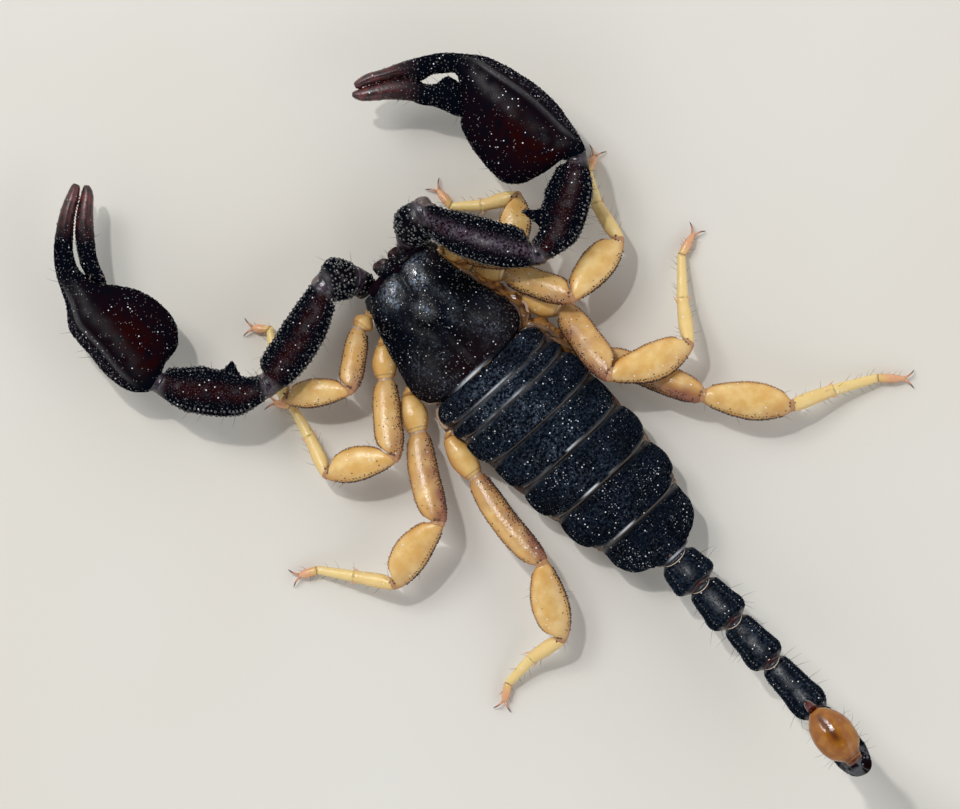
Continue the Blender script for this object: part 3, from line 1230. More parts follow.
class SCORPION_OT_flanks(bpy.types.Operator):
    """Lays the soft folds of the flanks and the hips' upper edges beside the head shield and first plates"""

    bl_idname = "scorpion.flanks"
    bl_label = "Flanks"

    def execute(self, context):
        plates = [plate_patch(name, 0.12) for name in ("carapace", *(f"tergite_{k}" for k in range(1, 5)))]
        low = np.concatenate([plate.points[..., 0].min(axis=1) for plate in plates])
        high = np.concatenate([plate.points[..., 0].max(axis=1) for plate in plates])
        station = np.concatenate([plate.points[..., 1].mean(axis=1) for plate in plates])
        for side, sign in zip(SIDES, (1, -1)):
            edge = high if side == "left" else low
            folds = Gathered()
            # Each fold: its two ends, how far beyond the edge each lies, height, half width and marks.
            rows = [
                (0.7, 4.0, -0.16, 0.06, 1.72, 0.3, {"flesh": 1.0, "dark": 0.25}),
                (2.4, 5.4, 0.0, 0.3, 1.6, 0.34, {"flesh": 1.0}),
                (4.2, 7.4, 0.16, 0.36, 1.56, 0.38, {"flesh": 1.0, "dark": 0.1}),
                (5.6, 8.6, 0.3, 0.5, 1.5, 0.34, {"flesh": 1.0}),
                (6.8, 10.0, 0.02, 0.28, 1.6, 0.3, {"flesh": 1.0, "dark": 0.2}),
                (1.2, 3.4, -0.08, 0.14, 1.96, 0.11, {"flesh": 0.6, "dark": 0.75}),
                (3.0, 5.6, 0.1, 0.3, 1.92, 0.12, {"flesh": 1.0, "dark": 0.5}),
                (4.6, 6.9, 0.0, 0.12, 2.0, 0.1, {"red": 0.8, "dark": 0.4}),
                (6.2, 8.0, 0.2, 0.34, 1.84, 0.11, {"flesh": 0.7, "dark": 0.6}),
                (5.2, 6.6, 0.5, 0.7, 1.62, 0.13, {"amber": 0.25}),
                (7.4, 9.4, 0.1, 0.2, 1.82, 0.1, {"flesh": 0.8, "dark": 0.5}),
            ]
            if side == "left":
                rows = [
                    (5.2, 7.9, -0.2, 0.05, 1.82, 0.2, {"amber": 0.3, "dark": 0.1}),
                    (5.9, 8.3, -0.1, 0.2, 1.66, 0.2, {"flesh": 0.5, "dark": 0.15}),
                    (2.2, 5.0, -0.35, -0.2, 1.7, 0.2, {"amber": 0.6, "dark": 0.4}),
                ]
            for start, stop, near, far, height, half, marks in rows:
                steps = np.linspace(0, 1, 40)
                at = station[0] + start + (stop - start) * steps
                line = np.interp(at, station, edge)
                beyond = near + (far - near) * steps + 0.07 * np.sin(steps * 11 + start)
                path = np.stack([line + sign * beyond, at, height - 0.1 * steps], axis=-1)
                radii = half * np.sqrt(np.sin(np.pi * (0.06 + 0.88 * steps)))
                horn(folds, path, radii, 28, marks, flat=0.7, relief=0.6 * half)
            folds.piece(f"flank_{side}", "joint_membrane", "belly")
        return {"FINISHED"}


class SCORPION_OT_belly(bpy.types.Operator):
    """Skins the underside: hips, belly plates with their breathing slits, and the two toothed combs"""

    bl_idname = "scorpion.belly"
    bl_label = "Belly"

    def execute(self, context):
        pitch = millimetres("pitch") * 1.6
        lining = []
        for node_name in ["coxae"] + [f"sternite_{number}" for number in range(3, 8)]:
            patch = plate_patch(node_name, pitch)
            behind = patch.behind
            rear = step_up(0.14, 0.08, behind)
            patch.height += 0.03 * rear - 0.04 * ridge(behind - 0.2, 0.1)
            plate = Gathered()
            black = step_up(2.1, 1.6, patch.mm) if node_name == "coxae" else 0 * patch.mm
            slits = 0 * patch.mm
            if node_name[-1] in "3456":
                middle = patch.points[..., 0].mean(axis=1, keepdims=True)
                aside = np.abs(patch.points[..., 0] - middle) - 2.0
                low = patch.points[..., 2] < patch.points[..., 2].mean() - 0.1
                slits = ridge(np.hypot(aside * 0.35, behind - 0.55 * patch.length), 0.11) * low
                patch.height -= 0.12 * slits
            plate.tube(patch.finished(), {"rim": rear * 0.35, "black": black, "dark": np.maximum(slits, 0.5)})
            if node_name == "coxae":
                grains_at = patch.field(0.2, 90, 0.9 * black)
                plate.studs(patch, grains_at, 0.06, 91, marks={"black": 1.0})
            name = "hips" if node_name == "coxae" else f"belly_plate_{node_name[-1]}"
            plate.piece(name, "brown_belly_cuticle", "belly", [node_name])
            if node_name != "coxae":
                rings = rounder(np.stack([patch.points[0], patch.points[-1]]), 60)
                lining.extend(sized(ring, 0.94, 0.05 * UP) for ring in rings)
        lining = np.stack(lining)
        along = stations(lining)
        lined = Gathered()
        points = through(along, lining, np.arange(0, along[-1], 0.2))
        lined.tube(points, {"dark": np.full(points.shape[:2], 0.5), "amber": np.full(points.shape[:2], 0.3)})
        lined.piece("belly_lining", "joint_membrane", "belly")
        comb = Gathered()
        patch = Patch(rings_of("pectines", np.array([-1000.0, 0.0, 0.0])), pitch, 32)
        comb.tube(patch.finished(), {"rim": 0.4 + 0 * patch.u}, dome=True)
        middles = np.broadcast_to(patch.points.mean(axis=1, keepdims=True), patch.points.shape)
        back = np.array([0.0, 1.0, 0.0])
        for k in range(9):
            for sign in (-1, 1):
                at = (0.5 + sign * (0.12 + 0.038 * k)) * patch.length
                centre = patch.read(middles, np.array([[at, 0.5]]))[0]
                path = [centre + back * (0.15 + 0.1 * t) - UP * 0.06 for t in range(4)]
                horn(comb, path, [0.07, 0.085, 0.08, 0.05], 8, {"rim": 0.5})
        comb.piece("combs", "brown_belly_cuticle", "belly", ["pectines"])
        return {"FINISHED"}


# --- pincer arms ---

# Rows of round teeth on each arm segment: [share of the way round, size, first and last share of the length].
KEELS = {
    "coxa": [],
    "trochanter": [
        (0.02, 1.15, 0.1, 0.9), (0.14, 1.0, 0.15, 0.85), (0.36, 1.0, 0.1, 0.9), (0.48, 1.15, 0.05, 0.95),
    ],
    "femur": [
        (0.0, 1.15, 0.03, 0.93), (0.07, 0.95, 0.04, 0.9), (0.42, 0.95, 0.04, 0.92), (0.49, 1.2, 0.02, 0.95),
        (0.56, 0.9, 0.05, 0.92), (0.93, 0.9, 0.05, 0.92),
    ],
    "patella": [
        (0.01, 1.0, 0.06, 0.92), (0.09, 0.9, 0.08, 0.9), (0.4, 1.0, 0.06, 0.94), (0.47, 1.15, 0.04, 0.95),
        (0.54, 0.95, 0.06, 0.92), (0.93, 0.9, 0.08, 0.9),
    ],
}

# Each segment's bristles: their share of the places, millimetres between them and, on legs, their length.
ARM_HAIRS = {
    "trochanter": (1.0, 0.55), "femur": (0.5, 0.8), "patella": (0.8, 0.6),
    "hand": (0.25, 0.8), "finger": (0.4, 0.5),
}
LEG_HAIRS = {
    "femur": (0.3, 0.7, 0.4), "patella": (0.6, 0.6, 0.55), "tibia": (0.9, 0.38, 0.5),
    "basitarsus": (0.9, 0.32, 0.5), "telotarsus": (0.9, 0.3, 0.35),
}


def arm_segment(body, patch, segment, limb):
    """Adds an arm segment to a body: a bare-ended skin, sunk by the height of its teeth, with its keels."""
    seed = seed_of(limb + segment)
    bead, pitch = millimetres("bead"), millimetres("bead_pitch")
    bare = step_up(0.4, 0.12, patch.end)
    lines = 0 * patch.u
    for line, size, start, stop in KEELS[segment]:
        reach = step_up(start, start + 0.08, patch.u) * step_up(stop, stop - 0.08, patch.u)
        lines = np.maximum(lines, patch.line(line, 0.22) * reach)
    upper = patch.line(0.25, 0.7)
    patch.height -= 0.05
    patch.height += 0.04 * lines - (0.09 * upper * (1 - bare) if segment in ("femur", "patella") else 0)
    patch.height += 0.05 * (patch.clouds(0.5, seed) - 0.5) * (1 - bare)
    dark = np.clip(1.5 * lines + 1.1 - 1.2 * upper, 0, 1) * (1 - bare * 0.3)
    beaded_all_over = segment in ("coxa", "trochanter")
    if beaded_all_over:
        dark = np.maximum(dark, 0.85 - 0.5 * bare)
    greyness = 0.75 if limb.endswith("right") and segment == "femur" else 0.1
    grey = np.maximum(greyness * upper * (0.4 + 0.6 * patch.clouds(0.25, seed + 1)), bare * 0.3)
    sheen = 0.35 * patch.line(0.25, 0.35) * step_up(0.5, 0.8, patch.clouds(0.35, seed + 2))
    body.tube(patch.finished(), {"bare": np.maximum(bare * 0.5, sheen), "dark": dark, "grey": grey})
    marks = {"grain": 1.0, "dark": 1.0, "bare": 0.9}
    for k, (line, size, start, stop) in enumerate(KEELS[segment]):
        row = patch.row(line, pitch * (0.8 + 0.35 * size), seed + k, start, stop, sway=bead)
        body.studs(patch, row, bead * size * 0.92, seed + k, tall=1.1, marks=marks)
    if beaded_all_over:
        places = patch.field(pitch * 1.1, seed + 20, 0.9 * (1 - bare))
        body.studs(patch, places, bead * 0.98, seed + 21, 1.1, marks=marks)
    else:
        away = (1 - np.clip(lines * 1.3, 0, 1)) * (1 - bare)
        body.studs(patch, patch.field(0.15, seed + 20, away * 0.8), 0.03, seed + 21, marks=marks, sides=6)
        beside = patch.line(0.1, 0.5) + patch.line(0.4, 0.5) + (patch.v > 0.55)
        beside = np.clip(beside, 0, 1)
        body.studs(patch, patch.field(0.24, seed + 22, away * beside * 0.7), 0.055, seed + 23, marks=marks)


def hand_segment(body, patch, segment, limb):
    """Adds a hand or its movable finger to a body: grained, with a deep red middle, a keel and red tips."""
    seed = seed_of(limb + segment)
    is_hand = segment == "hand"
    palm = step_up(0.62, 0.5, patch.u) * is_hand
    reach = patch.u if is_hand else 0.6 + 0.4 * patch.u
    tip = step_up(0.74, 0.97, reach)
    margin = patch.sides(0.8, 0.9)
    palm_only = palm * step_up(0.02, 0.14, patch.u)
    keel = patch.line(0.37, 0.2) * palm_only
    outer = step_up(0.37, 0.42, patch.v) * step_up(0.6, 0.5, patch.v) * np.maximum(palm, 0.35) * is_hand
    patch.height -= 0.03
    patch.height += 0.07 * keel - 0.05 * patch.line(0.43, 0.35) * palm
    patch.height += 0.06 * (patch.clouds(0.7, seed) - 0.5) * palm
    groove = patch.line(0.3, 0.14) * (1 - palm) * (1 - tip)
    patch.height -= 0.015 * groove
    # The fingers are stouter than their solids, and blunt.
    patch.height += 0.1 * (step_up(0.56, 0.68, patch.u) if is_hand else 1.0)
    red = patch.line(0.24, 1.15) * step_up(0.02, 0.1, patch.u) * step_up(0.46, 0.22, patch.u)
    red = red * is_hand * (0.55 + 0.45 * patch.clouds(0.8, seed + 6))
    dark = np.clip(1 - red - 0.25 * palm_only * (1 - margin), 0, 1) * (1 - tip)
    sheen = 0.4 * keel + 0.25 * palm_only * patch.line(0.3, 0.5) * patch.clouds(0.4, seed + 7)
    grey = np.clip(0.35 * outer + 0.3 * keel, 0, 1) * (1 - tip)
    marks = {"dark": dark, "tip": tip, "grey": grey}
    body.tube(patch.finished(), {**marks, "bare": np.maximum(sheen, 0.5 * tip)})
    inner, start = (0.0, 0.66) if is_hand else (0.5, 0.3)
    row = patch.row(inner, 0.17, seed + 1, start, 0.97, sway=0.05)
    body.studs(patch, row, 0.06, seed + 1, marks={"tip": 0.9, "bare": 1.0})
    crowd = (0.25 + 0.75 * np.clip(margin + outer + (1 - palm), 0, 1)) * (1 - 0.75 * tip)
    marks = {"grain": 1.0, "dark": 1.0, "bare": 0.9}
    body.studs(patch, patch.field(0.19, seed + 2, crowd * 0.75), 0.042, seed + 3, marks=marks, sides=6)
    body.studs(patch, patch.field(0.3, seed + 4, crowd * margin * 0.8), 0.06, seed + 5, marks=marks)


class SCORPION_OT_arms(bpy.types.Operator):
    """Skins the pincer arms: beaded thighs and forearms, swollen hands, toothed fingers and joint skin"""

    bl_idname = "scorpion.arms"
    bl_label = "Arms"

    def execute(self, context):
        for limb in ARMS:
            patches, rings = limb_patches(limb), limb_rings(limb)
            upper = Gathered()
            for segment, patch in patches.items():
                target = upper if segment in ("coxa", "trochanter") else Gathered()
                add = hand_segment if segment in ("hand", "finger") else arm_segment
                add(target, patch, segment, limb)
                if segment != "coxa":
                    name = f"{limb}_{segment}_shell"
                    target.piece(name, "oxblood_grained_cuticle", "arm", [f"{limb}_{segment}"])
            skin = Gathered()
            order = ["coxa", "trochanter", "femur", "patella", "hand"]
            for first, second, size in zip(order, order[1:], (0.9, 0.9, 0.9, 0.86)):
                sleeve(skin, rings[first], rings[second], size, 0.4, {"purple": 1.0})
            for first, second, radius in (("trochanter", "femur", 0.4), ("femur", "patella", 0.4)):
                # The soft skin swells out on the side that the joint opens to.
                fronts = [rings[first][-1][0], rings[second][0][0]]
                heart = (rings[first][-1].mean(axis=0) + rings[second][0].mean(axis=0)) / 2
                out = np.mean(fronts, axis=0) - heart
                middle = heart + out * (1 - 1.1 * radius / np.linalg.norm(out)) + UP * 0.05
                along = unit(rings[second][1].mean(axis=0) - rings[first][-2].mean(axis=0))
                path = middle + along * radius * np.linspace(-1.1, 1.1, 15)[:, None]
                girth = radius * np.sqrt(np.sin(np.linspace(0.15, math.pi - 0.15, 15)))
                horn(skin, path, girth, 28, {"purple": 0.85}, relief=0.1)
            knuckle = patches["finger"].points[0].mean(axis=0)
            ahead = unit(patches["finger"].points[6].mean(axis=0) - knuckle)
            aside = np.cross(UP, ahead)
            crest = patches["finger"].points[4][:, 2].max()
            path = []
            for step in np.linspace(-1, 1, 11):
                place = knuckle + ahead * (0.55 - 0.6 * abs(step)) + aside * 0.42 * step
                path.append([place[0], place[1], crest + 0.02 - 0.12 * abs(step)])
            horn(skin, path, np.full(11, 0.026), 8, {"purple": 0.7})
            skin.piece(f"{limb}_joint_skin", "joint_membrane", "arm")
            hairs = Gathered()
            for cell, (segment, (line_share, spacing)) in enumerate(ARM_HAIRS.items()):
                patch = patches[segment]
                sides = patch.sides(0.5, 0.5)
                places = patch.field(spacing, seed_of(limb) + cell, sides * line_share)
                bristles(hairs, patch, places, seed_of(limb) + cell, cell)
            hairs.piece(f"{limb}_bristles", "brown_bristle", "arm")
        return {"FINISHED"}


# --- legs ---


def leg_segment(body, patch, segment, limb):
    """Adds a leg segment to a body: waxy, orange down its sides, with dark serrated edges if it is thick."""
    seed = seed_of(limb + segment)
    cast = 1.0 if limb[4] in "34" else 0.6
    thick = segment in ("femur", "patella")
    marks = {"side": patch.sides(0.42, 0.45) * 0.95}
    marks["side"] = np.maximum(marks["side"], 0.6 * (patch.v > 0.55))
    patch.height += 0.02 * (patch.clouds(0.4, seed + 9) - 0.5)
    if segment == "telotarsus":
        shrink = 1 - 0.42 * step_up(0.35, 0.8, patch.u)
        patch.points = sized(patch.points, shrink[:, :1, None])
        patch.points[..., 2] -= patch.points[..., 2].min()
        marks["pink"] = 0.85 * step_up(0.0, 0.4, patch.u)
        marks["pale"] = 0.5 * step_up(0.5, 0.0, patch.u)
    elif thick:
        whole = 1.0 if segment == "femur" else 0.35
        rear = step_up(1.1, 0.1, np.abs(patch.across(0.42)))
        mottle = patch.clouds(0.5, seed)
        marks["tint"] = cast * whole * np.clip(0.12 + 0.3 * mottle + 0.55 * rear * (0.6 + 0.4 * mottle), 0, 1)
        marks["tint"] += 0.4 * whole * rear * step_up(0.55, 0.95, patch.u)
        marks["edge"] = np.maximum(patch.line(0.485, 0.15), 0.8 * patch.line(0.0, 0.1))
        marks["edge"] = marks["edge"] * step_up(0.1, 0.4, patch.end)
        patch.height += 0.03 * patch.line(0.02, 0.15) * step_up(0.1, 0.4, patch.end)
    elif segment == "trochanter":
        patch.height += (0.13 if limb[4] in "34" else 0.07) * np.sin(np.pi * np.clip(patch.u, 0, 1))
        marks["tint"] = 0.12 + 0 * patch.u
        marks["edge"] = ridge(patch.behind - 0.2, 0.05) * 0.5
    else:
        marks["pale"] = np.full_like(patch.u, 0.65 if segment == "tibia" else 0.85)
        patch.height += 0.03 * step_up(0.2, 0.08, patch.behind)
        marks["joint"] = 0.5 * patch.line(0.25, 0.12) * step_up(0.12, 0.03, patch.behind)
    body.tube(patch.finished(), marks, hollow=(0.05, 0.05), dome=segment == "telotarsus")
    if thick:
        rows = ((0.0, 0.12, 0.048), (0.04, 0.16, 0.036), (0.49, 0.12, 0.058), (0.45, 0.15, 0.046))
        for k, (line, pitch, radius) in enumerate(rows + ((0.4, 0.2, 0.038),)):
            row = patch.row(line, pitch, seed + k, 0.08, 0.92, sway=0.04)
            body.studs(patch, row, radius, seed + k, tall=1.3, marks={"edge": 1.0}, sides=6)
        weight = (0.04 + 0.96 * step_up(0.6, 0.2, np.abs(patch.across(0.45)))) * step_up(0.1, 0.4, patch.end)
        dots = patch.field(0.12, seed + 5, weight * (0.75 if segment == "femur" else 0.12))
        body.studs(patch, dots, 0.038, seed + 6, sunk=0.3, marks={"edge": 1.0}, sides=6)
        condyle = np.array([[patch.length - 0.12, 0.27], [patch.length - 0.1, 0.2]])
        body.studs(patch, condyle, 0.085, seed + 7, 0.7, 0.4, {"joint": 0.9}, 12)
    if segment == "tibia":
        body.studs(patch, np.array([[0.1, 0.2]]), 0.06, seed + 7, 0.6, 0.4, {"joint": 0.9}, 12)


def claws(gathered, patch):
    """A pair of curved claws at the end of a foot, spread apart, with their points on the floor."""
    end = patch.points[-1].mean(axis=0)
    ahead = end - patch.points[-8].mean(axis=0)
    ahead[2] = 0
    ahead = unit(ahead)
    aside = np.cross(UP, ahead)
    steps = np.linspace(0, 1, 9)
    for sign in (-1, 1):
        flat = end + ahead * (-0.05 + 0.58 * steps - 0.1 * steps**2)[:, None]
        flat = flat + aside * (sign * (0.06 + 0.2 * steps + 0.2 * steps**2))[:, None]
        flat[:, 2] = end[2] + 0.14 * np.sin(steps * math.pi * 0.8) - (end[2] - 0.02) * steps**2
        radii = 0.06 * (1 - steps) ** 0.7 + 0.012
        marks = {"point": step_up(0.6, 0.95, steps), "pale": step_up(0.9, 0.3, steps) * 0.85}
        horn(gathered, flat, radii, 8, marks)


class SCORPION_OT_legs(bpy.types.Operator):
    """Skins the eight legs, from hip to foot, with their joint skin, claws, spurs and bristles"""

    bl_idname = "scorpion.legs"
    bl_label = "Legs"

    def execute(self, context):
        for limb in LEGS:
            patches, rings = limb_patches(limb), limb_rings(limb)
            hairs = Gathered()
            for node_name, segments in (("femur", ("trochanter", "femur")), ("patella", ("patella",)),
                                        ("foot", ("tibia", "basitarsus", "telotarsus"))):
                body = Gathered()
                for segment in segments:
                    leg_segment(body, patches[segment], segment, limb)
                if node_name == "femur":
                    self.hip(body, rings["trochanter"])
                body.piece(f"{limb}_{node_name}_shell", "amber_cuticle", "leg", [f"{limb}_{node_name}"])
            skin = Gathered()
            order = list(patches)
            for first, second, size in zip(order, order[1:], (0.86, 0.84, 0.84, 0.9, 0.9)):
                soft = 0.35 if first == "trochanter" else 0.75
                sleeve(skin, rings[first], rings[second], size, 0.25, {"amber": soft})
            skin.piece(f"{limb}_joint_skin", "joint_membrane", "leg")
            nails = Gathered()
            claws(nails, patches["telotarsus"])
            patch = patches["tibia"]
            ahead = unit(patch.points[-1].mean(axis=0) - patch.points[-3].mean(axis=0))
            for line in (0.02, 0.48):
                spot = np.array([[patch.length - 0.1, line]])
                way = patch.read(patch.normals, spot)[0] * 0.5 + ahead
                path = [patch.read(patch.points, spot)[0] + way * 0.27 * t for t in (-0.3, 0.2, 0.6, 1.0)]
                horn(nails, path, [0.045, 0.04, 0.026, 0.01], 8, {"pale": 1.0})
            nails.piece(f"{limb}_claws", "red_brown_horn", "leg")
            for cell, (segment, (chance, spacing, long)) in enumerate(LEG_HAIRS.items()):
                patch = patches[segment]
                sides = patch.sides(0.3, 0.25)
                places = patch.field(spacing, seed_of(limb) + cell, sides * chance)
                bristles(hairs, patch, places, seed_of(limb) + cell, cell, long, 0.7)
            hairs.piece(f"{limb}_bristles", "brown_bristle", "leg")
        return {"FINISHED"}

    def hip(self, body, rings):
        """The hip: an amber tapered body from the first joint inwards, under the shield's edge."""
        root = rings[0].mean(axis=0)
        inwards = np.array([0.3 - root[0], -0.5, 0.0]) * 0.5 + (root - rings[1].mean(axis=0)) * (1, 1, 0)
        inwards = unit(inwards)
        ring = rounder(rings[:1], 48)[0]
        steps = ((0.03, 0.72, 0.0), (0.12, 0.92, 0.0), (0.5, 1.0, 0.02), (1.1, 1.0, 0.05), (1.8, 0.9, 0.1))
        grown = [sized(ring, size, inwards * reach - UP * drop) for reach, size, drop in steps]
        along = np.linspace(steps[0][0], steps[-1][0], 30)
        points = through([reach for reach, _, _ in steps], np.stack(grown), along)
        away = np.broadcast_to(along[:, None], points.shape[:2])
        marks = {"tint": 0.2 + 0 * away, "side": 0.35 + 0 * away, "edge": ridge(away - 0.16, 0.06) * 0.5}
        body.tube(points, marks, dome=True)


# --- tail ---


class SCORPION_OT_tail(bpy.types.Operator):
    """Skins the five rings of the tail, each with toothed keels on its back, and the red skin between"""

    bl_idname = "scorpion.tail"
    bl_label = "Tail"

    def execute(self, context):
        pitch = millimetres("pitch")
        skin, hairs = Gathered(), Gathered()
        every = [rings_of(f"metasoma_{number}", HEADWARDS) for number in range(1, 6)]
        for number, rings in enumerate(every, start=1):
            patch = Patch(rings, pitch, 104, (-0.02, -0.02), ((0.1, 0.08), (0.15, 0.12)))
            if number == 1:
                waist = 1 - 0.09 * step_up(0.45, 0.75, patch.u) * step_up(1.0, 0.9, patch.u)
                patch.points = sized(patch.points, waist[:, :1, None])
            seed = seed_of(f"tail{number}")
            bare = step_up(0.2, 0.06, patch.end)
            lines = 0 * patch.u
            for line in (0.13, 0.37, 0.01, 0.49):
                lines = np.maximum(lines, patch.line(line, 0.16) * (1 - bare))
            hollow = patch.line(0.25, 0.42) * step_up(0.15, 0.5, patch.end)
            notch = patch.line(0.25, 0.3) * step_up(0.32, 0.12, patch.behind) * (number < 5)
            patch.height += 0.05 * lines - 0.08 * hollow - 0.12 * notch - 0.03
            patch.height += 0.06 * (patch.clouds(0.5, seed) - 0.5)
            ring = Gathered()
            bloom = np.clip(0.25 + 0.75 * patch.clouds(0.4, seed + 1), 0, 1) * (patch.v < 0.5)
            gloss = 0.5 * hollow * patch.clouds(0.35, seed + 2)
            end = step_up(0.8, 0.9, patch.u) * (number == 5)
            brown = np.clip(notch * 1.5 + 0.2 * bare + 0.8 * end, 0, 1)
            worn = 0.2 * end * step_up(0.3, 0.6, patch.clouds(0.18, seed + 3))
            marks = {"brown": brown, "dusty": bloom * (1 - 0.6 * end), "rim": worn}
            ring.tube(patch.finished(), {**marks, "bare": np.maximum(0.5 * bare * (1 - end), gloss)})
            for k, line in enumerate((0.13, 0.37, 0.02, 0.48, 0.6, 0.9)):
                row = patch.row(line, 0.17, seed + k, 0.1, 0.93, sway=0.05)
                ring.studs(patch, row, 0.055, seed + k, tall=1.15, marks={"grain": 1.0, "bare": 0.8}, sides=6)
            fine = patch.field(0.17, seed + 9, 0.75 * (1 - bare))
            ring.studs(patch, fine, 0.034, seed + 10, marks={"grain": 0.6, "dusty": 0.8}, sides=6)
            ring.piece(f"tail_ring_{number}", "black_grained_cuticle", "shell", [f"metasoma_{number}"])
            before = every[number - 2] if number > 1 else None
            if before is not None:
                sleeve(skin, before, rings, 0.9, 0.3, {"red": 1.0})
            else:
                root = rounder(rings[:1], 32)[0]
                back = unit(rings[0].mean(axis=0) - rings[1].mean(axis=0))
                steps = ((0.7, 0.9), (0.3, 0.95), (0.0, 0.85), (-0.3, 0.7))
                points = np.stack([sized(root, size, back * reach) for reach, size in steps])
                skin.tube(points, {"red": np.full(points.shape[:2], 0.8)}, dome=True)
            if number < 5:
                # The soft skin's folded edge shows as a pale crescent over the front of the ring.
                lines = np.linspace(0.12, 0.38, 13)
                bend = 0.04 + 0.24 * np.cos((lines - 0.25) / 0.13 * math.pi / 2)
                path = patch.read(patch.points, np.stack([bend, lines], axis=-1)) + UP * 0.01
                horn(skin, path, 0.008 + 0.016 * np.sin(np.linspace(0.1, math.pi - 0.1, 13)), 8, {"red": 0.0})
            sides = np.maximum(patch.line(0.01, 0.35), patch.line(0.49, 0.35))
            places = patch.field(0.42, seed + 3, sides * 0.55)
            bristles(hairs, patch, places, seed, number, 0.85, 0.3)
        skin.piece("tail_joint_skin", "joint_membrane", "shell")
        hairs.piece("tail_bristles", "brown_bristle", "shell")
        return {"FINISHED"}


class SCORPION_OT_sting(bpy.types.Operator):
    """Makes the polished bulb of the sting, with its dark stripe and low bumps, and the curved point"""

    bl_idname = "scorpion.sting"
    bl_label = "Sting"

    def execute(self, context):
        rings = rings_of("vesicle", TAILWARDS)
        patch = Patch(rings, millimetres("pitch") * 0.8, 96, (0.0, 0.0), ((0.0, 0.0), (0.3, 0.2)))
        stripe = patch.line(0.25, 0.3) * step_up(0.3, 0.5, patch.u) * step_up(0.98, 0.85, patch.u)
        stripe = np.maximum(stripe, step_up(0.16, 0.06, patch.u))
        side = patch.sides(0.6, 0.6) * 0.35
        patch.height += 0.05 * (patch.clouds(0.45, 70) - 0.5) - 0.03 * stripe
        bulb = Gathered()
        bulb.tube(patch.finished(), {"stripe": stripe, "side": side}, dome=True, hollow=(0.05, 0.02))
        bumps = patch.field(0.55, 71, 0.5 * (patch.v < 0.5) * step_up(0.5, 0.3, patch.u))
        bulb.studs(patch, bumps, 0.09, 72, tall=0.7, sunk=0.5, sides=12)
        collar = np.stack([np.full(15, 0.2), np.linspace(0.02, 0.48, 15)], axis=-1)
        bulb.studs(patch, collar, 0.05, 74, sunk=0.3, sides=8)
        bulb.piece("sting_bulb", "orange_polished_cuticle", "telson", ["vesicle"])
        hairs = Gathered()
        sides = patch.sides(0.5, 0.5)
        bristles(hairs, patch, patch.field(0.5, 75, sides * 0.8), 76, 0, 0.7, 0.5)
        hairs.piece("sting_bristles", "brown_bristle", "telson")
        rings = rings_of("aculeus", patch.points[-1].mean(axis=0))
        patch = Patch(rings, 0.06, 24)
        point = Gathered()
        point.tube(patch.points, {"point": step_up(0.0, 0.6, patch.u)}, dome=True, hollow=(0.02, 0.04))
        point.piece("sting_point", "red_brown_horn", "sting", ["aculeus"])
        return {"FINISHED"}


# --- stage ---

FLOOR_REACH = 0.6  # from its middle to each side, in metres
VIEW_RIGHT, VIEW_UP = np.array([-0.7383, 0.6745, 0.0]), np.array([-0.6745, -0.7383, 0.0])
VIEW_FROM = (2.055 * MM, -2.406 * MM, 1.8)  # so high that the animal is seen almost without perspective
LONG_LENS, SENSOR = 1350, 36  # millimetres
# Each lamp: metres ahead, aside and up, its size in metres, and its watts.
LAMPS = {
    "key": (0.32, -0.36, 0.55, 0.22, 1.5),
    "spark": (0.26, -0.2, 0.6, 0.025, 1.3),
    "fill": (-0.2, 0.6, 0.4, 0.5, 0.8),
}


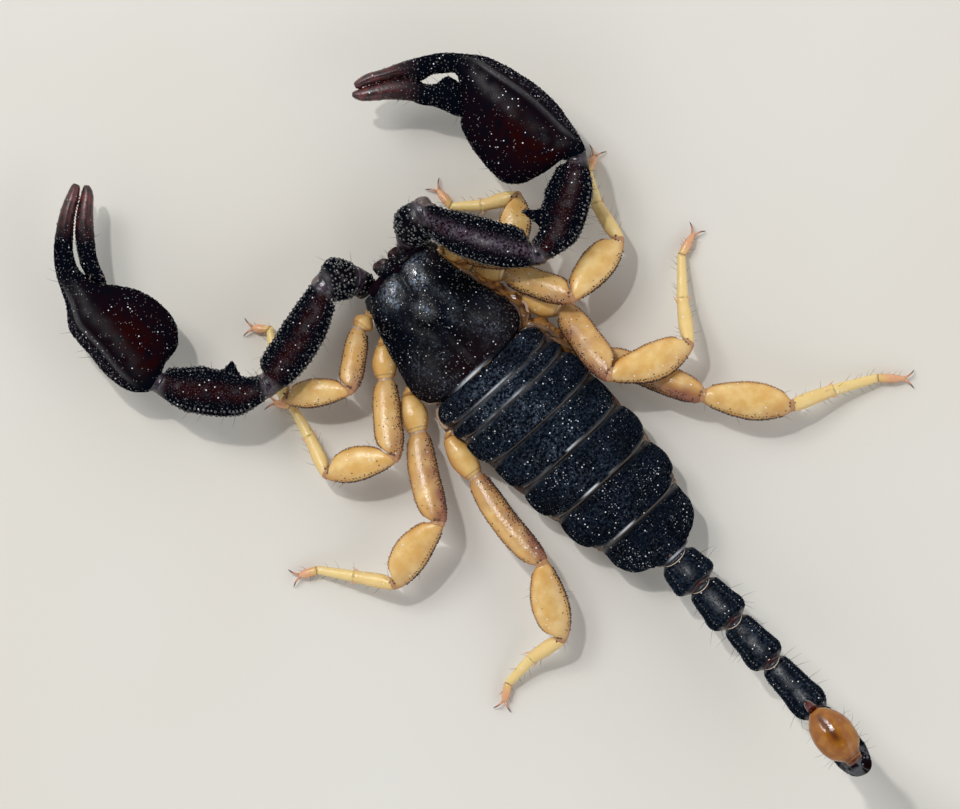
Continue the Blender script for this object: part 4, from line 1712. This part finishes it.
class SCORPION_OT_stage(bpy.types.Operator):
    """Lays the floor, sets the camera straight above, and hangs the soft lamps"""

    bl_idname = "scorpion.stage"
    bl_label = "Stage"

    def execute(self, context):
        scene = context.scene
        mesh = bpy.data.meshes.new("floor")
        corners = [(x * FLOOR_REACH, y * FLOOR_REACH, 0) for x, y in ((-1, -1), (1, -1), (1, 1), (-1, 1))]
        mesh.from_pydata(corners, [], [(0, 1, 2, 3)])
        mesh.materials.append(finish("cream_emulsion"))
        floor = bpy.data.objects.new("floor", mesh)
        scene.collection.objects.link(floor)
        camera_data = bpy.data.cameras.new("camera")
        camera_data.lens, camera_data.sensor_width = LONG_LENS, SENSOR
        camera_data.clip_start, camera_data.clip_end = 0.01, 10
        camera = bpy.data.objects.new("camera", camera_data)
        camera.matrix_world = turned(VIEW_RIGHT, VIEW_UP, UP, VIEW_FROM)
        scene.collection.objects.link(camera)
        scene.camera = camera
        # A wide main lamp and a small one for the glints stand ahead to the left; a weaker one fills.
        for name, (ahead, aside, height, size, power) in LAMPS.items():
            lamp = bpy.data.lights.new(name, "AREA")
            lamp.shape, lamp.size, lamp.energy = "SQUARE", size, power
            place = VIEW_RIGHT * aside + VIEW_UP * ahead + UP * height
            lamp_object = bpy.data.objects.new(name, lamp)
            back = unit(place)
            side = unit(np.cross(UP, back))
            lamp_object.matrix_world = turned(side, np.cross(back, side), back, place)
            scene.collection.objects.link(lamp_object)
        # The room is dark overhead and bright towards its walls, as in a light tent with an open top.
        world = bpy.data.worlds.new("studio")
        world.use_nodes = True
        tree = world.node_tree
        direction = node(tree, "ShaderNodeTexCoord", "Generated")
        height = node(tree, "ShaderNodeSeparateXYZ", "Z", Vector=direction)
        ends = {"From_Min": 0.93, "From_Max": 0.62, "To_Min": 0.08, "To_Max": 0.88}
        glow = node(tree, "ShaderNodeMapRange", 0, SMOOTH, Value=height, **ends)
        tree.nodes["Background"].inputs["Color"].default_value = (0.95, 0.97, 1.0, 1)
        tree.links.new(glow, tree.nodes["Background"].inputs["Strength"])
        scene.world = world
        scene.view_settings.view_transform = "Standard"
        return {"FINISHED"}


def turned(right, up, back, place):
    """A matrix from three directions and a place."""
    rows = [[right[k], up[k], back[k], place[k]] for k in range(3)] + [[0, 0, 0, 1]]
    return Matrix([[float(value) for value in row] for row in rows])


# --- add-on ---

OPERATORS = (
    SCORPION_OT_head_shield,
    SCORPION_OT_eyes,
    SCORPION_OT_chelicerae,
    SCORPION_OT_back_plates,
    SCORPION_OT_flanks,
    SCORPION_OT_belly,
    SCORPION_OT_arms,
    SCORPION_OT_legs,
    SCORPION_OT_tail,
    SCORPION_OT_sting,
    SCORPION_OT_stage,
)


class SCORPION_PT_steps(bpy.types.Panel):
    """Lists the steps that build the scorpion, in their order"""

    bl_idname = "SCORPION_PT_steps"
    bl_label = "Scorpion"
    bl_space_type = "VIEW_3D"
    bl_region_type = "UI"
    bl_category = "Scorpion"

    def draw(self, context):
        for operator in OPERATORS:
            self.layout.operator(operator.bl_idname)


CLASSES = (ScorpionColours, ScorpionSizes, *OPERATORS, SCORPION_PT_steps)


def register():
    for each in CLASSES:
        bpy.utils.register_class(each)
    bpy.types.Scene.scorpion_colours = bpy.props.PointerProperty(type=ScorpionColours)
    bpy.types.Scene.scorpion_sizes = bpy.props.PointerProperty(type=ScorpionSizes)


def unregister():
    del bpy.types.Scene.scorpion_sizes
    del bpy.types.Scene.scorpion_colours
    for each in reversed(CLASSES):
        bpy.utils.unregister_class(each)


def main():
    """Builds everything, and keeps the box of the solids and the box of the dressed model."""
    register()
    for operator in OPERATORS:
        group, step = operator.bl_idname.split(".")
        getattr(getattr(bpy.ops, group), step)()


if __name__ == "__main__":
    main()
